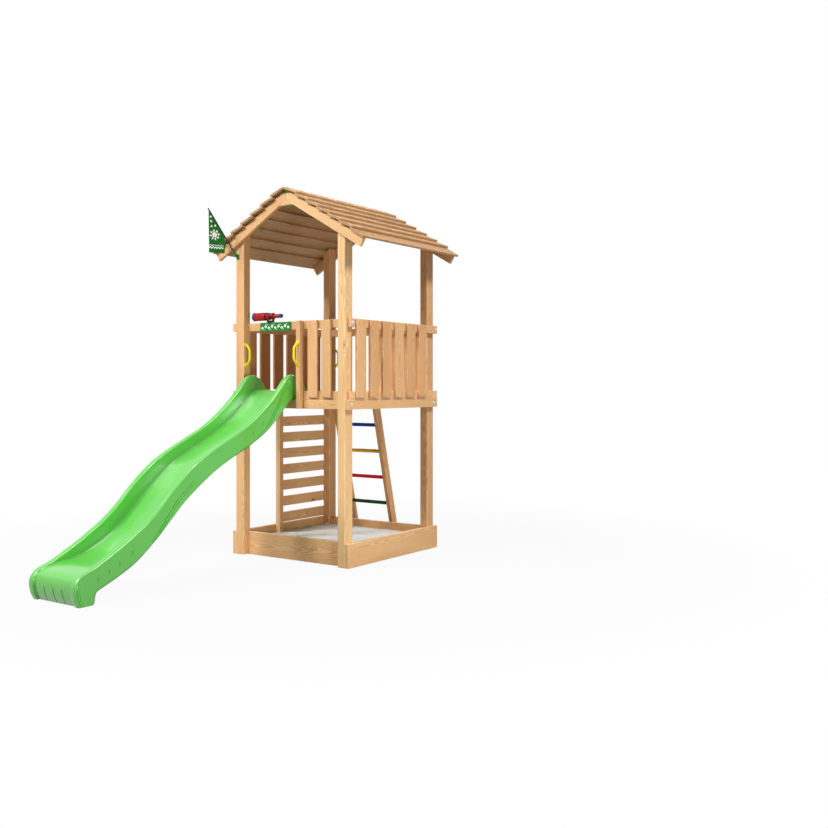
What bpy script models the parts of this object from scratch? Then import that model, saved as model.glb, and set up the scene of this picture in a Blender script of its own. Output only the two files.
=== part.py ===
# Play tower: a deck on four posts under a boarded roof, with a slide, a ladder and a climbing wall.
# The origin is on the ground under the middle of the deck. X runs to the right of the slide,
# Y away from the slide and Z up. All sizes are in metres.
import math

import bmesh
import bpy
from mathutils import Matrix, Vector

gap = 0.0003  # left between pieces that touch
weld = 0.0005  # how far boards sink into the rails that they are made one with
sawn_edge = 0.002  # chamfer along the edges of sawn timber

# Posts
tower_width = 1.10  # X, over the posts
tower_depth = 1.16  # Y, over the posts
post_x = 0.068
post_y = 0.090
turned_post_x = 0.085  # the front left post stands the other way round
turned_post_y = 0.070

# Boards and rails on the outside of the posts, left and right
side_thick = 0.0347
side_overrun = 0.010  # they run this far past the back posts
panel_rail_trim = 0.015  # the panels' rails are this much shorter than the tower is deep
right_rail_setback = 0.025  # from the front of the tower to the right panel's rails

# Boards and rails between the posts, front and back
member_inset = 0.045  # their outer faces lie this far inside the posts' outer faces
member_thick = 0.028

# Sandbox
sandbox_height = 0.180
sand_depth = 0.115

# Deck
deck_underside = 1.155
beam_height = 0.068
joist_thick = 0.040
joist_offset = 0.300
floor_thick = 0.020
floor_slit = 0.005
floor_board_count = 8

# Balustrade
railing_height = 0.597  # from the top of the deck's beams
rail_height = 0.063
bottom_rail_height = 0.0645
board_lift = 0.018  # from the top of the deck's beams to the boards
board_thick = 0.020
side_board_width = 0.112
side_board_pitch = 0.160
right_board_setback = 0.075  # from the front of the tower to the first board
left_board_setback = 0.160
bare_rail_end = 0.040  # least length of rail left bare behind the last board
end_board_width = 0.090
end_board_pitch = 0.132
front_board_gap = 0.057  # from the doorway post to the first board
back_board_gap = 0.042
doorway_post_width = 0.038
back_doorway_width = 0.502

# Roof
ridge_line = 2.815  # height where the upper edges of the rafters meet
roof_pitch = math.radians(30)
rafter_depth = 0.070
rafter_thick = 0.028
rafter_length = 0.860
gusset_depth = 0.119  # of the solid corner under the ridge line
plank_thick = 0.018
plank_lap = 0.0165  # how far each plank covers the next one down
plank_count = 7
ridge_slit = 0.0036  # from the ridge line to the top planks
eaves_overhang = 0.009  # of the lowest plank past the rafters' ends
plank_overhang = 0.030  # of the planks past the gables
apex_plate_half_width = 0.045
apex_plate_thick = 0.004
apex_plate_drop = 0.004

# Ladder
ladder_rail_x = 0.035
ladder_rail_depth = 0.070
ladder_side_room = 0.035  # from the back doorway post to the right rail
ladder_spread = 0.310  # from the back of the tower to the rails' outer faces on the ground
rung_radius = 0.016
rung_drop = 0.165  # from the underside of the deck's beams to the top rung
rung_pitch = 0.230
rung_names = ("blue", "yellow", "red", "green")

# Climbing wall
upright_size = 0.045
upright_start = -0.123
slat_thick = 0.022
slat_height = 0.082
slat_setback = 0.0325  # of the slats' ends from the front of the upright
slat_pitch = 0.1335
slat_drop = 0.084  # from the underside of the deck's beams to the top slat

# Slide. Each line down the slide is a row of matching stations, as (distance in front of the
# tower, height above the ground), drawn for a floor at the height of slide_lower's first station.
slide_half_width = 0.230
slide_side_room = 0.0405  # from the slide to the posts on each side of it
slide_wall = 0.045
slide_skirt = 0.025
slide_shell = 0.014
slide_steps = 2  # sections between one station and the next
slide_rest_past_floor = 0.003  # the slide lies level this far past the front edge of the floor
slide_rim = (
    (-0.160, 1.306), (-0.110, 1.376), (-0.015, 1.412), (0.055, 1.383), (0.120, 1.317),
    (0.206, 1.231), (0.334, 1.128), (0.489, 1.029), (0.674, 0.943), (0.840, 0.866),
    (0.985, 0.783), (1.140, 0.655), (1.255, 0.543), (1.373, 0.447), (1.520, 0.355),
    (1.635, 0.292), (1.765, 0.228), (1.866, 0.186), (1.913, 0.128), (1.908, 0.055),
    (1.882, 0.000),
)
slide_bed = (
    (-0.160, 1.300), (-0.100, 1.299), (-0.030, 1.293), (0.010, 1.272), (0.050, 1.238),
    (0.140, 1.152), (0.280, 1.046), (0.450, 0.953), (0.635, 0.864), (0.795, 0.786),
    (0.920, 0.698), (1.070, 0.580), (1.180, 0.478), (1.310, 0.366), (1.480, 0.268),
    (1.620, 0.226), (1.760, 0.205), (1.860, 0.178), (1.905, 0.125), (1.900, 0.055),
    (1.875, 0.000),
)
slide_lower = (
    (-0.160, 1.2436), (-0.110, 1.2436), (slide_rest_past_floor - member_inset, 1.2436),
    (-0.012, 1.232), (0.022, 1.209), (0.114, 1.122), (0.253, 1.004), (0.425, 0.906),
    (0.615, 0.822), (0.772, 0.744), (0.897, 0.667), (1.052, 0.556), (1.162, 0.456),
    (1.293, 0.336), (1.455, 0.214), (1.600, 0.141), (1.710, 0.096), (1.755, 0.075),
    (1.768, 0.045), (1.773, 0.015), (1.784, 0.000),
)

# Grab handles
handle_length = 0.200
handle_grip = 0.45  # share of the bar that is straight
handle_lift = 0.058  # from the top of the slide's sides to the handles' lower ends
handle_radius = 0.0095
handle_reach = 0.052
handle_pad_radius = 0.018
handle_pad_thick = 0.008

# Telescope, along X on the front top rail
scope_offset = -0.0405  # from the middle of the slide
scope_base_radius = 0.030
scope_base_thick = 0.008
scope_bolt_radius = 0.006
scope_bolt_head_radius = 0.011
scope_bolt_head = 0.002
scope_plate = 0.005
scope_cheek_width = 0.020
scope_side_clearance = 0.0015
scope_bolt_clearance = 0.0064  # from the bolt's head to the barrel
scope_pin_radius = 0.005
scope_wall = 0.003
scope_front_radius = 0.0325
scope_tube_radius = 0.026
scope_back_radius = 0.016
scope_front_length = 0.111
scope_tube_front = 0.042  # from the tilt pin to the step in front of it
scope_tube_back = 0.034
scope_taper = 0.008
scope_back_length = 0.0555
scope_ring_radius = 0.034
scope_ring_bore = 0.028
scope_ring_length = 0.018
scope_lens_recess = 0.006
scope_eyepiece_radius = 0.0175
scope_eyepiece_seat = 0.0145  # radius of its flat against the barrel

# Board on the front top rail
sign_offset = 0.0265  # of its middle from the middle of the slide
sign_width = 0.318
sign_height = 0.068
sign_drop = 0.002  # below the top of the rail
sign_thick = 0.006

# Flag on the front left post
pole_inset = 0.020  # from the post's left face
pole_stand_off = 0.012  # in front of the post
pole_drop = 0.470  # from the ridge line to the pole's foot
pole_sideways = 0.104  # from its foot to its tip
pole_forward = 0.208
pole_rise = 0.365
pole_radius = 0.005
socket_radius = 0.011
socket_length = 0.050
socket_floor = 0.006
socket_plate_width = 0.026
socket_plate_height = 0.040
socket_plate_thick = 0.006
pennant_width = 0.130
pennant_height = 0.345
pennant_thick = 0.003
pennant_fold = 0.007

outer_x = tower_width / 2
outer_y = tower_depth / 2
member_face = outer_y - member_inset
member_back = member_face - member_thick
deck_top = deck_underside + beam_height
floor_top = deck_top + gap + floor_thick
railing_top = deck_top + railing_height
rail_bottom = railing_top - rail_height
board_bottom = deck_top + board_lift
bottom_rail_top = deck_top + gap + bottom_rail_height
board_face = member_face + gap
panel_rail_face = board_face + weld
doorway_post_face = panel_rail_face + gap
eaves_length = rafter_length + eaves_overhang
slide_centre = turned_post_x - outer_x + slide_side_room + slide_half_width
slide_raise = (floor_top + gap) / slide_lower[0][1]
slide_crown = slide_raise * max(height for _, height in slide_rim)
scope_x = slide_centre + scope_offset
scope_plate_top = scope_base_thick + gap + scope_plate
scope_axis_height = scope_plate_top + gap + scope_bolt_head + scope_bolt_clearance + scope_tube_radius
pole_foot = Vector((pole_inset - outer_x, -outer_y - pole_stand_off, ridge_line - pole_drop))
pole_tip = pole_foot + Vector((-pole_sideways, -pole_forward, pole_rise))

pine = (0.80, 0.62, 0.38)
pine_dark = (0.72, 0.52, 0.30)
sand_grey = (0.62, 0.60, 0.56)
slide_green = (0.12, 0.66, 0.08)
leaf_green = (0.01, 0.22, 0.02)
handle_yellow = (0.90, 0.82, 0.02)
scope_red = (0.40, 0.01, 0.02)
scope_blue = (0.02, 0.08, 0.35)
black = (0.02, 0.02, 0.02)
rung_colours = {
    "blue": (0.01, 0.05, 0.25),
    "yellow": (0.55, 0.33, 0.02),
    "red": (0.42, 0.01, 0.02),
    "green": (0.01, 0.06, 0.01),
}


def clear_scene():
    for item in list(bpy.data.objects):
        bpy.data.objects.remove(item, do_unlink=True)


def new_collection(name):
    collection = bpy.data.collections.new(name)
    bpy.context.scene.collection.children.link(collection)
    return collection


def finish_of(name, colour, roughness, metallic=0.0):
    material = bpy.data.materials.new(name + "_finish")
    material.use_nodes = True
    shader = material.node_tree.nodes["Principled BSDF"]
    shader.inputs["Base Color"].default_value = (*colour, 1)
    shader.inputs["Roughness"].default_value = roughness
    shader.inputs["Metallic"].default_value = metallic
    material.diffuse_color = (*colour, 1)
    return material


def add_piece(name, data, colour, roughness=0.6):
    piece = bpy.data.objects.new(name, data)
    data.materials.append(finish_of(name, colour, roughness))
    parts.objects.link(piece)
    return piece


def add_cutter(name, data):
    cutter = bpy.data.objects.new(name, data)
    cutter.hide_render = True
    cutter.display_type = "WIRE"
    cutters.objects.link(cutter)
    return cutter


def move_to_cutters(piece):
    parts.objects.unlink(piece)
    cutters.objects.link(piece)
    piece.hide_render = True
    piece.display_type = "WIRE"
    return piece


def boxes_mesh(name, spans):
    """One closed box for each (low corner, high corner)."""
    shape = bmesh.new()
    for low, high in spans:
        low = Vector(low)
        high = Vector(high)
        place = Matrix.Translation((low + high) / 2) @ Matrix.Diagonal((*(high - low), 1))
        bmesh.ops.create_cube(shape, size=1, matrix=place)
    mesh = bpy.data.meshes.new(name)
    shape.to_mesh(mesh)
    shape.free()
    return mesh


def rod_mesh(name, radius, length, sides=16):
    """A cylinder about Z from 0 to its length."""
    shape = bmesh.new()
    bmesh.ops.create_cone(
        shape,
        cap_ends=True,
        segments=sides,
        radius1=radius,
        radius2=radius,
        depth=length,
        matrix=Matrix.Translation((0, 0, length / 2)),
    )
    mesh = bpy.data.meshes.new(name)
    shape.to_mesh(mesh)
    shape.free()
    return mesh


def chamfer(piece, width=sawn_edge):
    bevel = piece.modifiers.new("Chamfer", "BEVEL")
    bevel.width = width
    bevel.segments = 1
    bevel.limit_method = "ANGLE"


def combine(piece, other, operation):
    boolean = piece.modifiers.new(operation.title(), "BOOLEAN")
    boolean.operation = operation
    boolean.solver = "EXACT"
    boolean.object = other


def smooth(mesh):
    mesh.shade_smooth()
    mesh.set_sharp_from_angle(angle=math.radians(35))


def timber(name, low, high, colour=pine):
    """A sawn length of timber between two corners, with its origin in its middle."""
    middle = (Vector(low) + Vector(high)) / 2
    half = (Vector(high) - Vector(low)) / 2
    piece = add_piece(name, boxes_mesh(name, [(-half, half)]), colour)
    piece.location = middle
    chamfer(piece)
    return piece


def signed(sign, near, far):
    """The lower and upper end of a span on one side of the middle."""
    return tuple(sorted((sign * near, sign * far)))


def post_span(side, end):
    """X and Y spans of the corner post at side -1 or 1 and end -1 or 1."""
    turned = side < 0 and end < 0
    wide = turned_post_x if turned else post_x
    deep = turned_post_y if turned else post_y
    return signed(side, outer_x - wide, outer_x), signed(end, outer_y - deep, outer_y)


def side_span(side):
    return signed(side, outer_x + gap, outer_x + gap + side_thick)


def end_span(end):
    return signed(end, member_back, member_face)


def between_posts(end):
    """X span between the two corner posts at one end, clear of both."""
    return post_span(-1, end)[0][1] + gap, post_span(1, end)[0][0] - gap


def doorway_post_span(end):
    width = 2 * (slide_side_room + slide_half_width) if end < 0 else back_doorway_width
    start = post_span(-1, end)[0][1] + width
    return start, start + doorway_post_width


def roof_point(along, out):
    """X and Z of a point this far down the slope and this far out from the rafters' edge."""
    x = along * math.cos(roof_pitch) + out * math.sin(roof_pitch)
    z = ridge_line - along * math.sin(roof_pitch) + out * math.cos(roof_pitch)
    return x, z


def roof_height(x):
    return ridge_line - abs(x) * math.tan(roof_pitch)


def make_posts():
    for end, end_name in ((-1, "front"), (1, "back")):
        for side, side_name in ((-1, "left"), (1, "right")):
            (x0, x1), (y0, y1) = post_span(side, end)
            post = timber(f"post_{end_name}_{side_name}", (x0, y0, 0), (x1, y1, ridge_line))
            for corner in post.data.vertices:
                if corner.co.z > 0:
                    corner.co.z = roof_height(post.location.x + corner.co.x) - post.location.z


def make_doorway_posts():
    for end, end_name in ((-1, "front"), (1, "back")):
        x0, x1 = doorway_post_span(end)
        y0, y1 = signed(end, doorway_post_face, outer_y)
        timber(f"doorway_post_{end_name}", (x0, y0, deck_underside), (x1, y1, railing_top))


def make_sandbox_and_beams():
    levels = (("sandbox_board", 0, sandbox_height), ("deck_beam", deck_underside, deck_top))
    for name, z0, z1 in levels:
        for side, side_name in ((-1, "left"), (1, "right")):
            x0, x1 = side_span(side)
            timber(f"{name}_{side_name}", (x0, -outer_y, z0), (x1, outer_y + side_overrun, z1))
        for end, end_name in ((-1, "front"), (1, "back")):
            x0, x1 = between_posts(end)
            y0, y1 = end_span(end)
            timber(f"{name}_{end_name}", (x0, y0, z0), (x1, y1, z1))


def post_cutter_spans(z0, z1):
    """Room for the four corner posts, with the clearance round them."""
    spans = []
    for side in (-1, 1):
        for end in (-1, 1):
            (x0, x1), (y0, y1) = post_span(side, end)
            spans.append(((x0 - gap, y0 - gap, z0), (x1 + gap, y1 + gap, z1)))
    return spans


def upright_span():
    return (-outer_x, -outer_x + upright_size), (upright_start, upright_start + upright_size)


def make_sand():
    sand = add_piece(
        "sand_fill",
        boxes_mesh("sand_fill", [((-outer_x, gap - member_back, 0), (outer_x, member_back - gap, sand_depth))]),
        sand_grey,
        0.95,
    )
    room = post_cutter_spans(-sand_depth, 2 * sand_depth)
    (x0, x1), (y0, y1) = upright_span()
    room.append(((x0 - gap, y0 - gap, -sand_depth), (x1 + gap, y1 + gap, 2 * sand_depth)))
    combine(sand, add_cutter("sand_room", boxes_mesh("sand_room", room)), "DIFFERENCE")


def make_floor():
    inner = post_span(1, 1)[0][0]
    pitch = (2 * inner + floor_slit) / floor_board_count
    edges = [(-outer_x, -inner - floor_slit)]
    edges += [(i * pitch - inner, (i + 1) * pitch - inner - floor_slit) for i in range(floor_board_count)]
    edges.append((inner + floor_slit, outer_x))
    boards = [
        ((x0, -member_face, deck_top + gap), (x1, member_face, floor_top)) for x0, x1 in edges
    ]
    floor = add_piece("deck_floor", boxes_mesh("deck_floor", boards), pine_dark)
    joists = [
        ((-outer_x, y - joist_thick / 2, deck_underside), (outer_x, y + joist_thick / 2, deck_top + gap + weld))
        for y in (-joist_offset, joist_offset)
    ]
    combine(floor, add_cutter("deck_joists", boxes_mesh("deck_joists", joists)), "UNION")
    room = post_cutter_spans(deck_underside, railing_top)
    for end in (-1, 1):
        y0, y1 = signed(end, member_back - gap, outer_y)
        room.append(((doorway_post_span(end)[0] - gap, y0, deck_underside), (outer_x, y1, railing_top)))
    for number, span in enumerate(room):
        name = f"floor_room_{number + 1}"
        combine(floor, add_cutter(name, boxes_mesh(name, [span])), "DIFFERENCE")


def starts_between(start, end, width, pitch):
    """Where boards of one width start, as many as fit from the start to the end."""
    count = int((end - start - width) / pitch) + 1
    return [start + i * pitch for i in range(count)]


def make_side_panel(name, side, rail_setback, board_setback):
    rail_start = rail_setback - outer_y
    rail_end = rail_start + tower_depth - panel_rail_trim
    x0, x1 = side_span(side)
    rails = [
        ((x0, rail_start, deck_top + gap), (x1, rail_end, bottom_rail_top)),
        ((x0, rail_start, rail_bottom), (x1, rail_end, railing_top)),
    ]
    b0, b1 = signed(side, outer_x + gap + side_thick - weld, outer_x + gap + side_thick + board_thick)
    starts = starts_between(
        board_setback - outer_y, rail_end - bare_rail_end, side_board_width, side_board_pitch
    )
    boards = [((b0, y, board_bottom), (b1, y + side_board_width, railing_top - sawn_edge)) for y in starts]
    panel = add_piece(name, boxes_mesh(name, boards), pine)
    chamfer(panel)
    rails_tool = add_cutter(name + "_rails", boxes_mesh(name + "_rails", rails))
    chamfer(rails_tool)
    combine(panel, rails_tool, "UNION")


def make_end_panel(name, end, first_gap):
    x0, post_end = doorway_post_span(end)
    x1 = between_posts(end)[1]
    y0, y1 = signed(end, member_back, panel_rail_face)
    b0, b1 = signed(end, board_face, board_face + board_thick)
    starts = starts_between(post_end + first_gap, x1, end_board_width, end_board_pitch)
    boards = [((x, b0, board_bottom), (x + end_board_width, b1, railing_top)) for x in starts]
    panel = add_piece(name, boxes_mesh(name, boards), pine)
    chamfer(panel)
    rail = [((x0, y0, deck_top + gap), (x1, y1, bottom_rail_top))]
    rail_tool = add_cutter(name + "_rail", boxes_mesh(name + "_rail", rail))
    chamfer(rail_tool)
    combine(panel, rail_tool, "UNION")


def make_balustrade():
    make_side_panel("side_panel_right", 1, right_rail_setback, right_board_setback)
    make_side_panel("side_panel_left", -1, 0, left_board_setback)
    make_end_panel("front_panel", -1, front_board_gap)
    make_end_panel("back_panel", 1, back_board_gap)
    for end, end_name in ((-1, "front"), (1, "back")):
        x0, x1 = between_posts(end)
        y0, y1 = end_span(end)
        timber(f"{end_name}_top_rail", (x0, y0, rail_bottom), (x1, y1, railing_top))


def add_plate(name, outline, thickness, colour, roughness=0.6):
    """A flat outline, thickened both ways from its plane."""
    curve = bpy.data.curves.new(name, "CURVE")
    curve.dimensions = "2D"
    curve.fill_mode = "BOTH"
    curve.extrude = thickness / 2
    spline = curve.splines.new("POLY")
    spline.points.add(len(outline) - 1)
    for point, (x, y) in zip(spline.points, outline):
        point.co = (x, y, 0, 1)
    spline.use_cyclic_u = True
    return add_piece(name, curve, colour, roughness)


def as_mesh_piece(curve_piece, colour, roughness=0.6):
    """Makes a curve a welded mesh, so that it can be cut or joined."""
    bpy.context.view_layer.update()
    name = curve_piece.name
    graph = bpy.context.evaluated_depsgraph_get()
    mesh = bpy.data.meshes.new_from_object(curve_piece.evaluated_get(graph))
    shape = bmesh.new()
    shape.from_mesh(mesh)
    bmesh.ops.remove_doubles(shape, verts=shape.verts, dist=1e-6)
    shape.to_mesh(mesh)
    shape.free()
    mesh.materials.clear()
    place = curve_piece.matrix_world.copy()
    bpy.data.objects.remove(curve_piece, do_unlink=True)
    piece = add_piece(name, mesh, colour, roughness)
    piece.matrix_world = place
    return piece


def make_gables():
    top_end = roof_point(rafter_length, 0)
    low_end = roof_point(rafter_length, -rafter_depth)
    gusset_x = (gusset_depth - rafter_depth / math.cos(roof_pitch)) / math.tan(roof_pitch)
    right = [top_end, low_end, (gusset_x, ridge_line - gusset_depth)]
    left = [(-x, z) for x, z in reversed(right)]
    outline = [(0, ridge_line)] + right + left
    for end, name in ((-1, "gable_front"), (1, "gable_back")):
        frame = add_plate(name, outline, rafter_thick, pine)
        frame.rotation_euler.x = math.pi / 2
        frame.location.y = end * (outer_y + gap + rafter_thick / 2)


def make_apex_plate():
    top = ridge_line - apex_plate_drop
    low = top - apex_plate_half_width * math.tan(roof_pitch)
    outline = [(0, top), (apex_plate_half_width, low), (-apex_plate_half_width, low)]
    plate = add_plate("apex_plate", outline, apex_plate_thick, leaf_green, 0.4)
    plate.rotation_euler.x = math.pi / 2
    plate.location.y = -(outer_y + 2 * gap + rafter_thick + apex_plate_thick / 2)


def plank_layout():
    """Step down the slope, width and tilt of planks that cover it from the ridge to the eaves."""
    step = eaves_length / plank_count
    for _ in range(8):
        tilt = math.asin((plank_thick + gap) / step)
        covered = eaves_length - ridge_slit - plank_lap * math.cos(tilt)
        step = covered / (plank_count - 1 + math.cos(tilt))
    return step, step + plank_lap, tilt


def make_roof():
    """Each plank but the lowest leans on the one below it, with its upper edge on the rafters."""
    plank_step, plank_width, lean = plank_layout()
    half_length = outer_y + rafter_thick + plank_overhang
    for number in range(plank_count):
        tilt = lean if number else 0
        upper = eaves_length - number * plank_step - plank_width * math.cos(tilt)
        x, z = roof_point(upper, gap)
        slope = roof_pitch - tilt
        x += plank_width / 2 * math.cos(slope) + plank_thick / 2 * math.sin(slope)
        z += plank_thick / 2 * math.cos(slope) - plank_width / 2 * math.sin(slope)
        half = Vector((plank_width / 2, half_length, plank_thick / 2))
        for side, side_name in ((-1, "left"), (1, "right")):
            name = f"roof_plank_{side_name}_{number + 1}"
            plank = add_piece(name, boxes_mesh(name, [(-half, half)]), pine)
            plank.location = (side * x, 0, z)
            plank.rotation_euler.y = side * slope
            chamfer(plank)


def ladder_rail_starts():
    left = post_span(-1, 1)[0][1] + gap
    right = doorway_post_span(1)[0] - ladder_side_room - ladder_rail_x
    return left, right


def ladder_slope():
    """Run over rise of the rails, whose inner faces reach the back beam at its lower edge."""
    run = outer_y + ladder_spread - member_face - gap
    rise = deck_underside
    lean = math.atan2(run, rise)
    for _ in range(6):
        lean = math.atan2(run - ladder_rail_depth / math.cos(lean), rise)
    return lean


def make_ladder():
    lean = ladder_slope()
    across = ladder_rail_depth / math.cos(lean)
    ladder_foot = outer_y + ladder_spread
    outline = [
        (ladder_foot - across, 0),
        (ladder_foot, 0),
        (ladder_foot - floor_top * math.tan(lean), floor_top),
        (member_face + gap, floor_top),
        (member_face + gap, deck_underside),
    ]
    left, right = ladder_rail_starts()
    for name, start in (("ladder_rail_left", left), ("ladder_rail_right", right)):
        rail = add_plate(name, outline, ladder_rail_x, pine)
        rail.rotation_euler = (math.pi / 2, 0, math.pi / 2)
        rail.location.x = start + ladder_rail_x / 2
    inner = left + ladder_rail_x + gap
    length = right - gap - inner
    for number, colour in enumerate(rung_names):
        z = deck_underside - rung_drop - number * rung_pitch
        mesh = rod_mesh(f"ladder_rung_{number + 1}", rung_radius, length)
        smooth(mesh)
        rung = add_piece(f"ladder_rung_{number + 1}", mesh, rung_colours[colour], 0.4)
        rung.rotation_euler.y = math.pi / 2
        rung.location = (inner, ladder_foot - across / 2 - z * math.tan(lean), z)


def make_climbing_wall():
    (x0, x1), (y0, y1) = upright_span()
    inside = -outer_x - gap
    slat_top = deck_underside - slat_drop
    slat_count = int((slat_top - slat_height - sandbox_height) / slat_pitch) + 1
    tops = [slat_top - i * slat_pitch for i in range(slat_count)]
    start = y0 + slat_setback
    slats = [((inside - slat_thick, start, z - slat_height), (inside, outer_y, z)) for z in tops]
    wall = add_piece("climbing_wall", boxes_mesh("climbing_wall", slats), pine)
    chamfer(wall)
    low = (inside - weld, start + weld, sandbox_height + gap)
    strip = [(low, (x1 - weld, y1 - weld, deck_underside - gap))]
    combine(wall, add_cutter("slat_strip", boxes_mesh("slat_strip", strip)), "UNION")
    upright = [((x0, y0, 0), (x1, y1, deck_top))]
    combine(wall, add_cutter("slat_upright", boxes_mesh("slat_upright", upright)), "UNION")


def along_stations(stations):
    """Points of a smooth line through the stations, with slide_steps to each span."""
    line = [Vector((-outer_y - out, height * slide_raise)) for out, height in stations]
    padded = [2 * line[0] - line[1]] + line + [2 * line[-1] - line[-2]]
    points = []
    for before, start, end, after in zip(padded, padded[1:], padded[2:], padded[3:]):
        for step in range(slide_steps):
            t = step / slide_steps
            cubic = 2 * start + (end - before) * t
            cubic += (2 * before - 5 * start + 4 * end - after) * t**2
            cubic += (3 * start - before - 3 * end + after) * t**3
            points.append(cubic / 2)
    points.append(line[-1])
    return points


def slide_section(rim, bed, lower):
    """Half of one section, from the edge of the bed over the wall, down outside and up under the bed."""
    under = min(slide_shell / (lower - bed).length, 0.6)
    outside = slide_half_width
    inside = outside - slide_wall
    crown = outside - slide_wall / 2
    shape = [
        (inside - 0.015, 0, 0),
        (inside - 0.003, 0.16, 0),
        (inside, 0.80, 0),
        (inside + 0.008, 0.96, 0),
        (crown, 1, 0),
        (outside - 0.008, 0.96, 0),
        (outside, 0.80, 0),
        (outside, 0, 0.3),
        (outside, 0, 1),
        (outside - slide_skirt, 0, 1),
        (outside - slide_skirt, 0, under),
    ]
    return [(x, bed + (rim - bed) * up + (lower - bed) * down) for x, up, down in shape]


def make_slide():
    lines = [along_stations(line) for line in (slide_rim, slide_bed, slide_lower)]
    shape = bmesh.new()
    rings = []
    for rim, bed, lower in zip(*lines):
        half = slide_section(rim, bed, lower)
        ring = [(slide_centre + x, *point) for x, point in half]
        ring += [(slide_centre - x, *point) for x, point in reversed(half)]
        rings.append([shape.verts.new(corner) for corner in ring])
    for ring, following in zip(rings, rings[1:]):
        for i in range(len(ring)):
            j = (i + 1) % len(ring)
            shape.faces.new((ring[i], ring[j], following[j], following[i]))
    shape.faces.new(rings[0])
    shape.faces.new(rings[-1])
    bmesh.ops.recalc_face_normals(shape, faces=shape.faces)
    mesh = bpy.data.meshes.new("slide")
    shape.to_mesh(mesh)
    shape.free()
    smooth(mesh)
    add_piece("slide", mesh, slide_green, 0.35)


def make_handle(name, place, turn):
    """A bar with a straight grip on two pads. The wall is at Y = 0 and the bar stands out along -Y before the turn."""
    curve = bpy.data.curves.new(name, "CURVE")
    curve.dimensions = "3D"
    curve.bevel_depth = handle_radius
    curve.bevel_resolution = 2
    curve.use_fill_caps = True
    count = 13
    spline = curve.splines.new("POLY")
    spline.points.add(count - 1)
    half = handle_length / 2 - handle_pad_radius
    root = 0.8 * handle_pad_thick
    for i, point in enumerate(spline.points):
        along = 2 * i / (count - 1) - 1
        leg = min(1, (1 - abs(along)) / (1 - handle_grip))
        out = root + (handle_reach - handle_radius - root) * math.sin(leg * math.pi / 2)
        point.co = (0, -out, half * along, 1)
    bar = as_mesh_piece(add_piece(name, curve, handle_yellow, 0.35), handle_yellow, 0.35)
    smooth(bar.data)
    bar.location = place
    bar.rotation_euler.z = turn
    for end, end_name in ((-1, "lower"), (1, "upper")):
        pad = add_cutter(f"{name}_{end_name}_pad", rod_mesh(name + "_pad", handle_pad_radius, handle_pad_thick))
        pad.parent = bar
        pad.location = (0, 0, end * half)
        pad.rotation_euler.x = math.pi / 2
        combine(bar, pad, "UNION")


def make_handles():
    front_x = post_span(-1, -1)[0][1]
    back_x = post_span(-1, 1)[0][1]
    front_post = sum(doorway_post_span(-1)) / 2
    back_post = sum(doorway_post_span(1)) / 2
    quarter = math.pi / 2
    height = slide_crown + handle_lift + handle_length / 2
    clear_of_rail = (member_face + outer_y) / 2
    make_handle("handle_front_left", (front_x + gap, -clear_of_rail, height), quarter)
    make_handle("handle_front_right", (front_post, -outer_y - gap, height), 0)
    make_handle("handle_back_left", (back_x + gap, clear_of_rail, height), quarter)
    make_handle("handle_back_right", (back_post, outer_y + gap, height), 2 * quarter)


def add_turned(name, profile, colour, roughness=0.4, sides=20):
    """A profile of (radius, height) points, from top to bottom, turned about Z."""
    shape = bmesh.new()
    corners = [shape.verts.new((radius, 0, z)) for radius, z in profile]
    for start, end in zip(corners, corners[1:]):
        shape.edges.new((start, end))
    mesh = bpy.data.meshes.new(name)
    shape.to_mesh(mesh)
    shape.free()
    piece = add_piece(name, mesh, colour, roughness)
    screw = piece.modifiers.new("Turning", "SCREW")
    screw.steps = sides
    screw.render_steps = sides
    screw.use_merge_vertices = True
    screw.merge_threshold = 0.00001
    return piece


def make_scope_mount():
    base = add_turned(
        "telescope_base",
        [
            (0, scope_plate_top + gap + scope_bolt_head),
            (scope_bolt_head_radius, scope_plate_top + gap + scope_bolt_head),
            (scope_bolt_head_radius, scope_plate_top + gap),
            (scope_bolt_radius, scope_plate_top + gap),
            (scope_bolt_radius, scope_base_thick),
            (scope_base_radius, scope_base_thick),
            (scope_base_radius, 0),
            (0, 0),
        ],
        black,
    )
    base.location = (scope_x, -(member_face + member_back) / 2, railing_top + gap)
    yoke = add_piece("telescope_yoke", rod_mesh("telescope_yoke", scope_base_radius, scope_plate, 20), black, 0.4)
    yoke.location = base.location + Vector((0, 0, scope_base_thick + gap))
    pin_height = railing_top + scope_axis_height - yoke.location.z
    half = scope_cheek_width / 2
    arc = [math.pi * i / 8 for i in range(9)]
    outline = [(half * math.cos(a), pin_height + half * math.sin(a)) for a in arc]
    outline = [(-half, weld), (half, weld)] + outline
    cheek_inside = scope_tube_radius + scope_side_clearance
    for side, side_name in ((-1, "front"), (1, "back")):
        cheek = add_plate(f"scope_cheek_{side_name}", outline, scope_plate, black)
        cheek = move_to_cutters(as_mesh_piece(cheek, black))
        cheek.rotation_euler.x = math.pi / 2
        cheek.location = yoke.location + Vector((0, side * (cheek_inside + scope_plate / 2), 0))
        combine(yoke, cheek, "UNION")
    bolt_length = 4 * scope_plate
    bolt_hole = add_cutter("scope_bolt_hole", rod_mesh("scope_bolt_hole", scope_bolt_radius + gap, bolt_length))
    bolt_hole.location = yoke.location - Vector((0, 0, bolt_length / 2))
    combine(yoke, bolt_hole, "DIFFERENCE")
    pin_length = 4 * cheek_inside
    pin_hole = add_cutter("scope_pin_hole", rod_mesh("scope_pin_hole", scope_pin_radius + gap, pin_length))
    pin_hole.location = yoke.location + Vector((0, pin_length / 2, pin_height))
    pin_hole.rotation_euler.x = math.pi / 2
    combine(yoke, pin_hole, "DIFFERENCE")
    return yoke, pin_height


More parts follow.
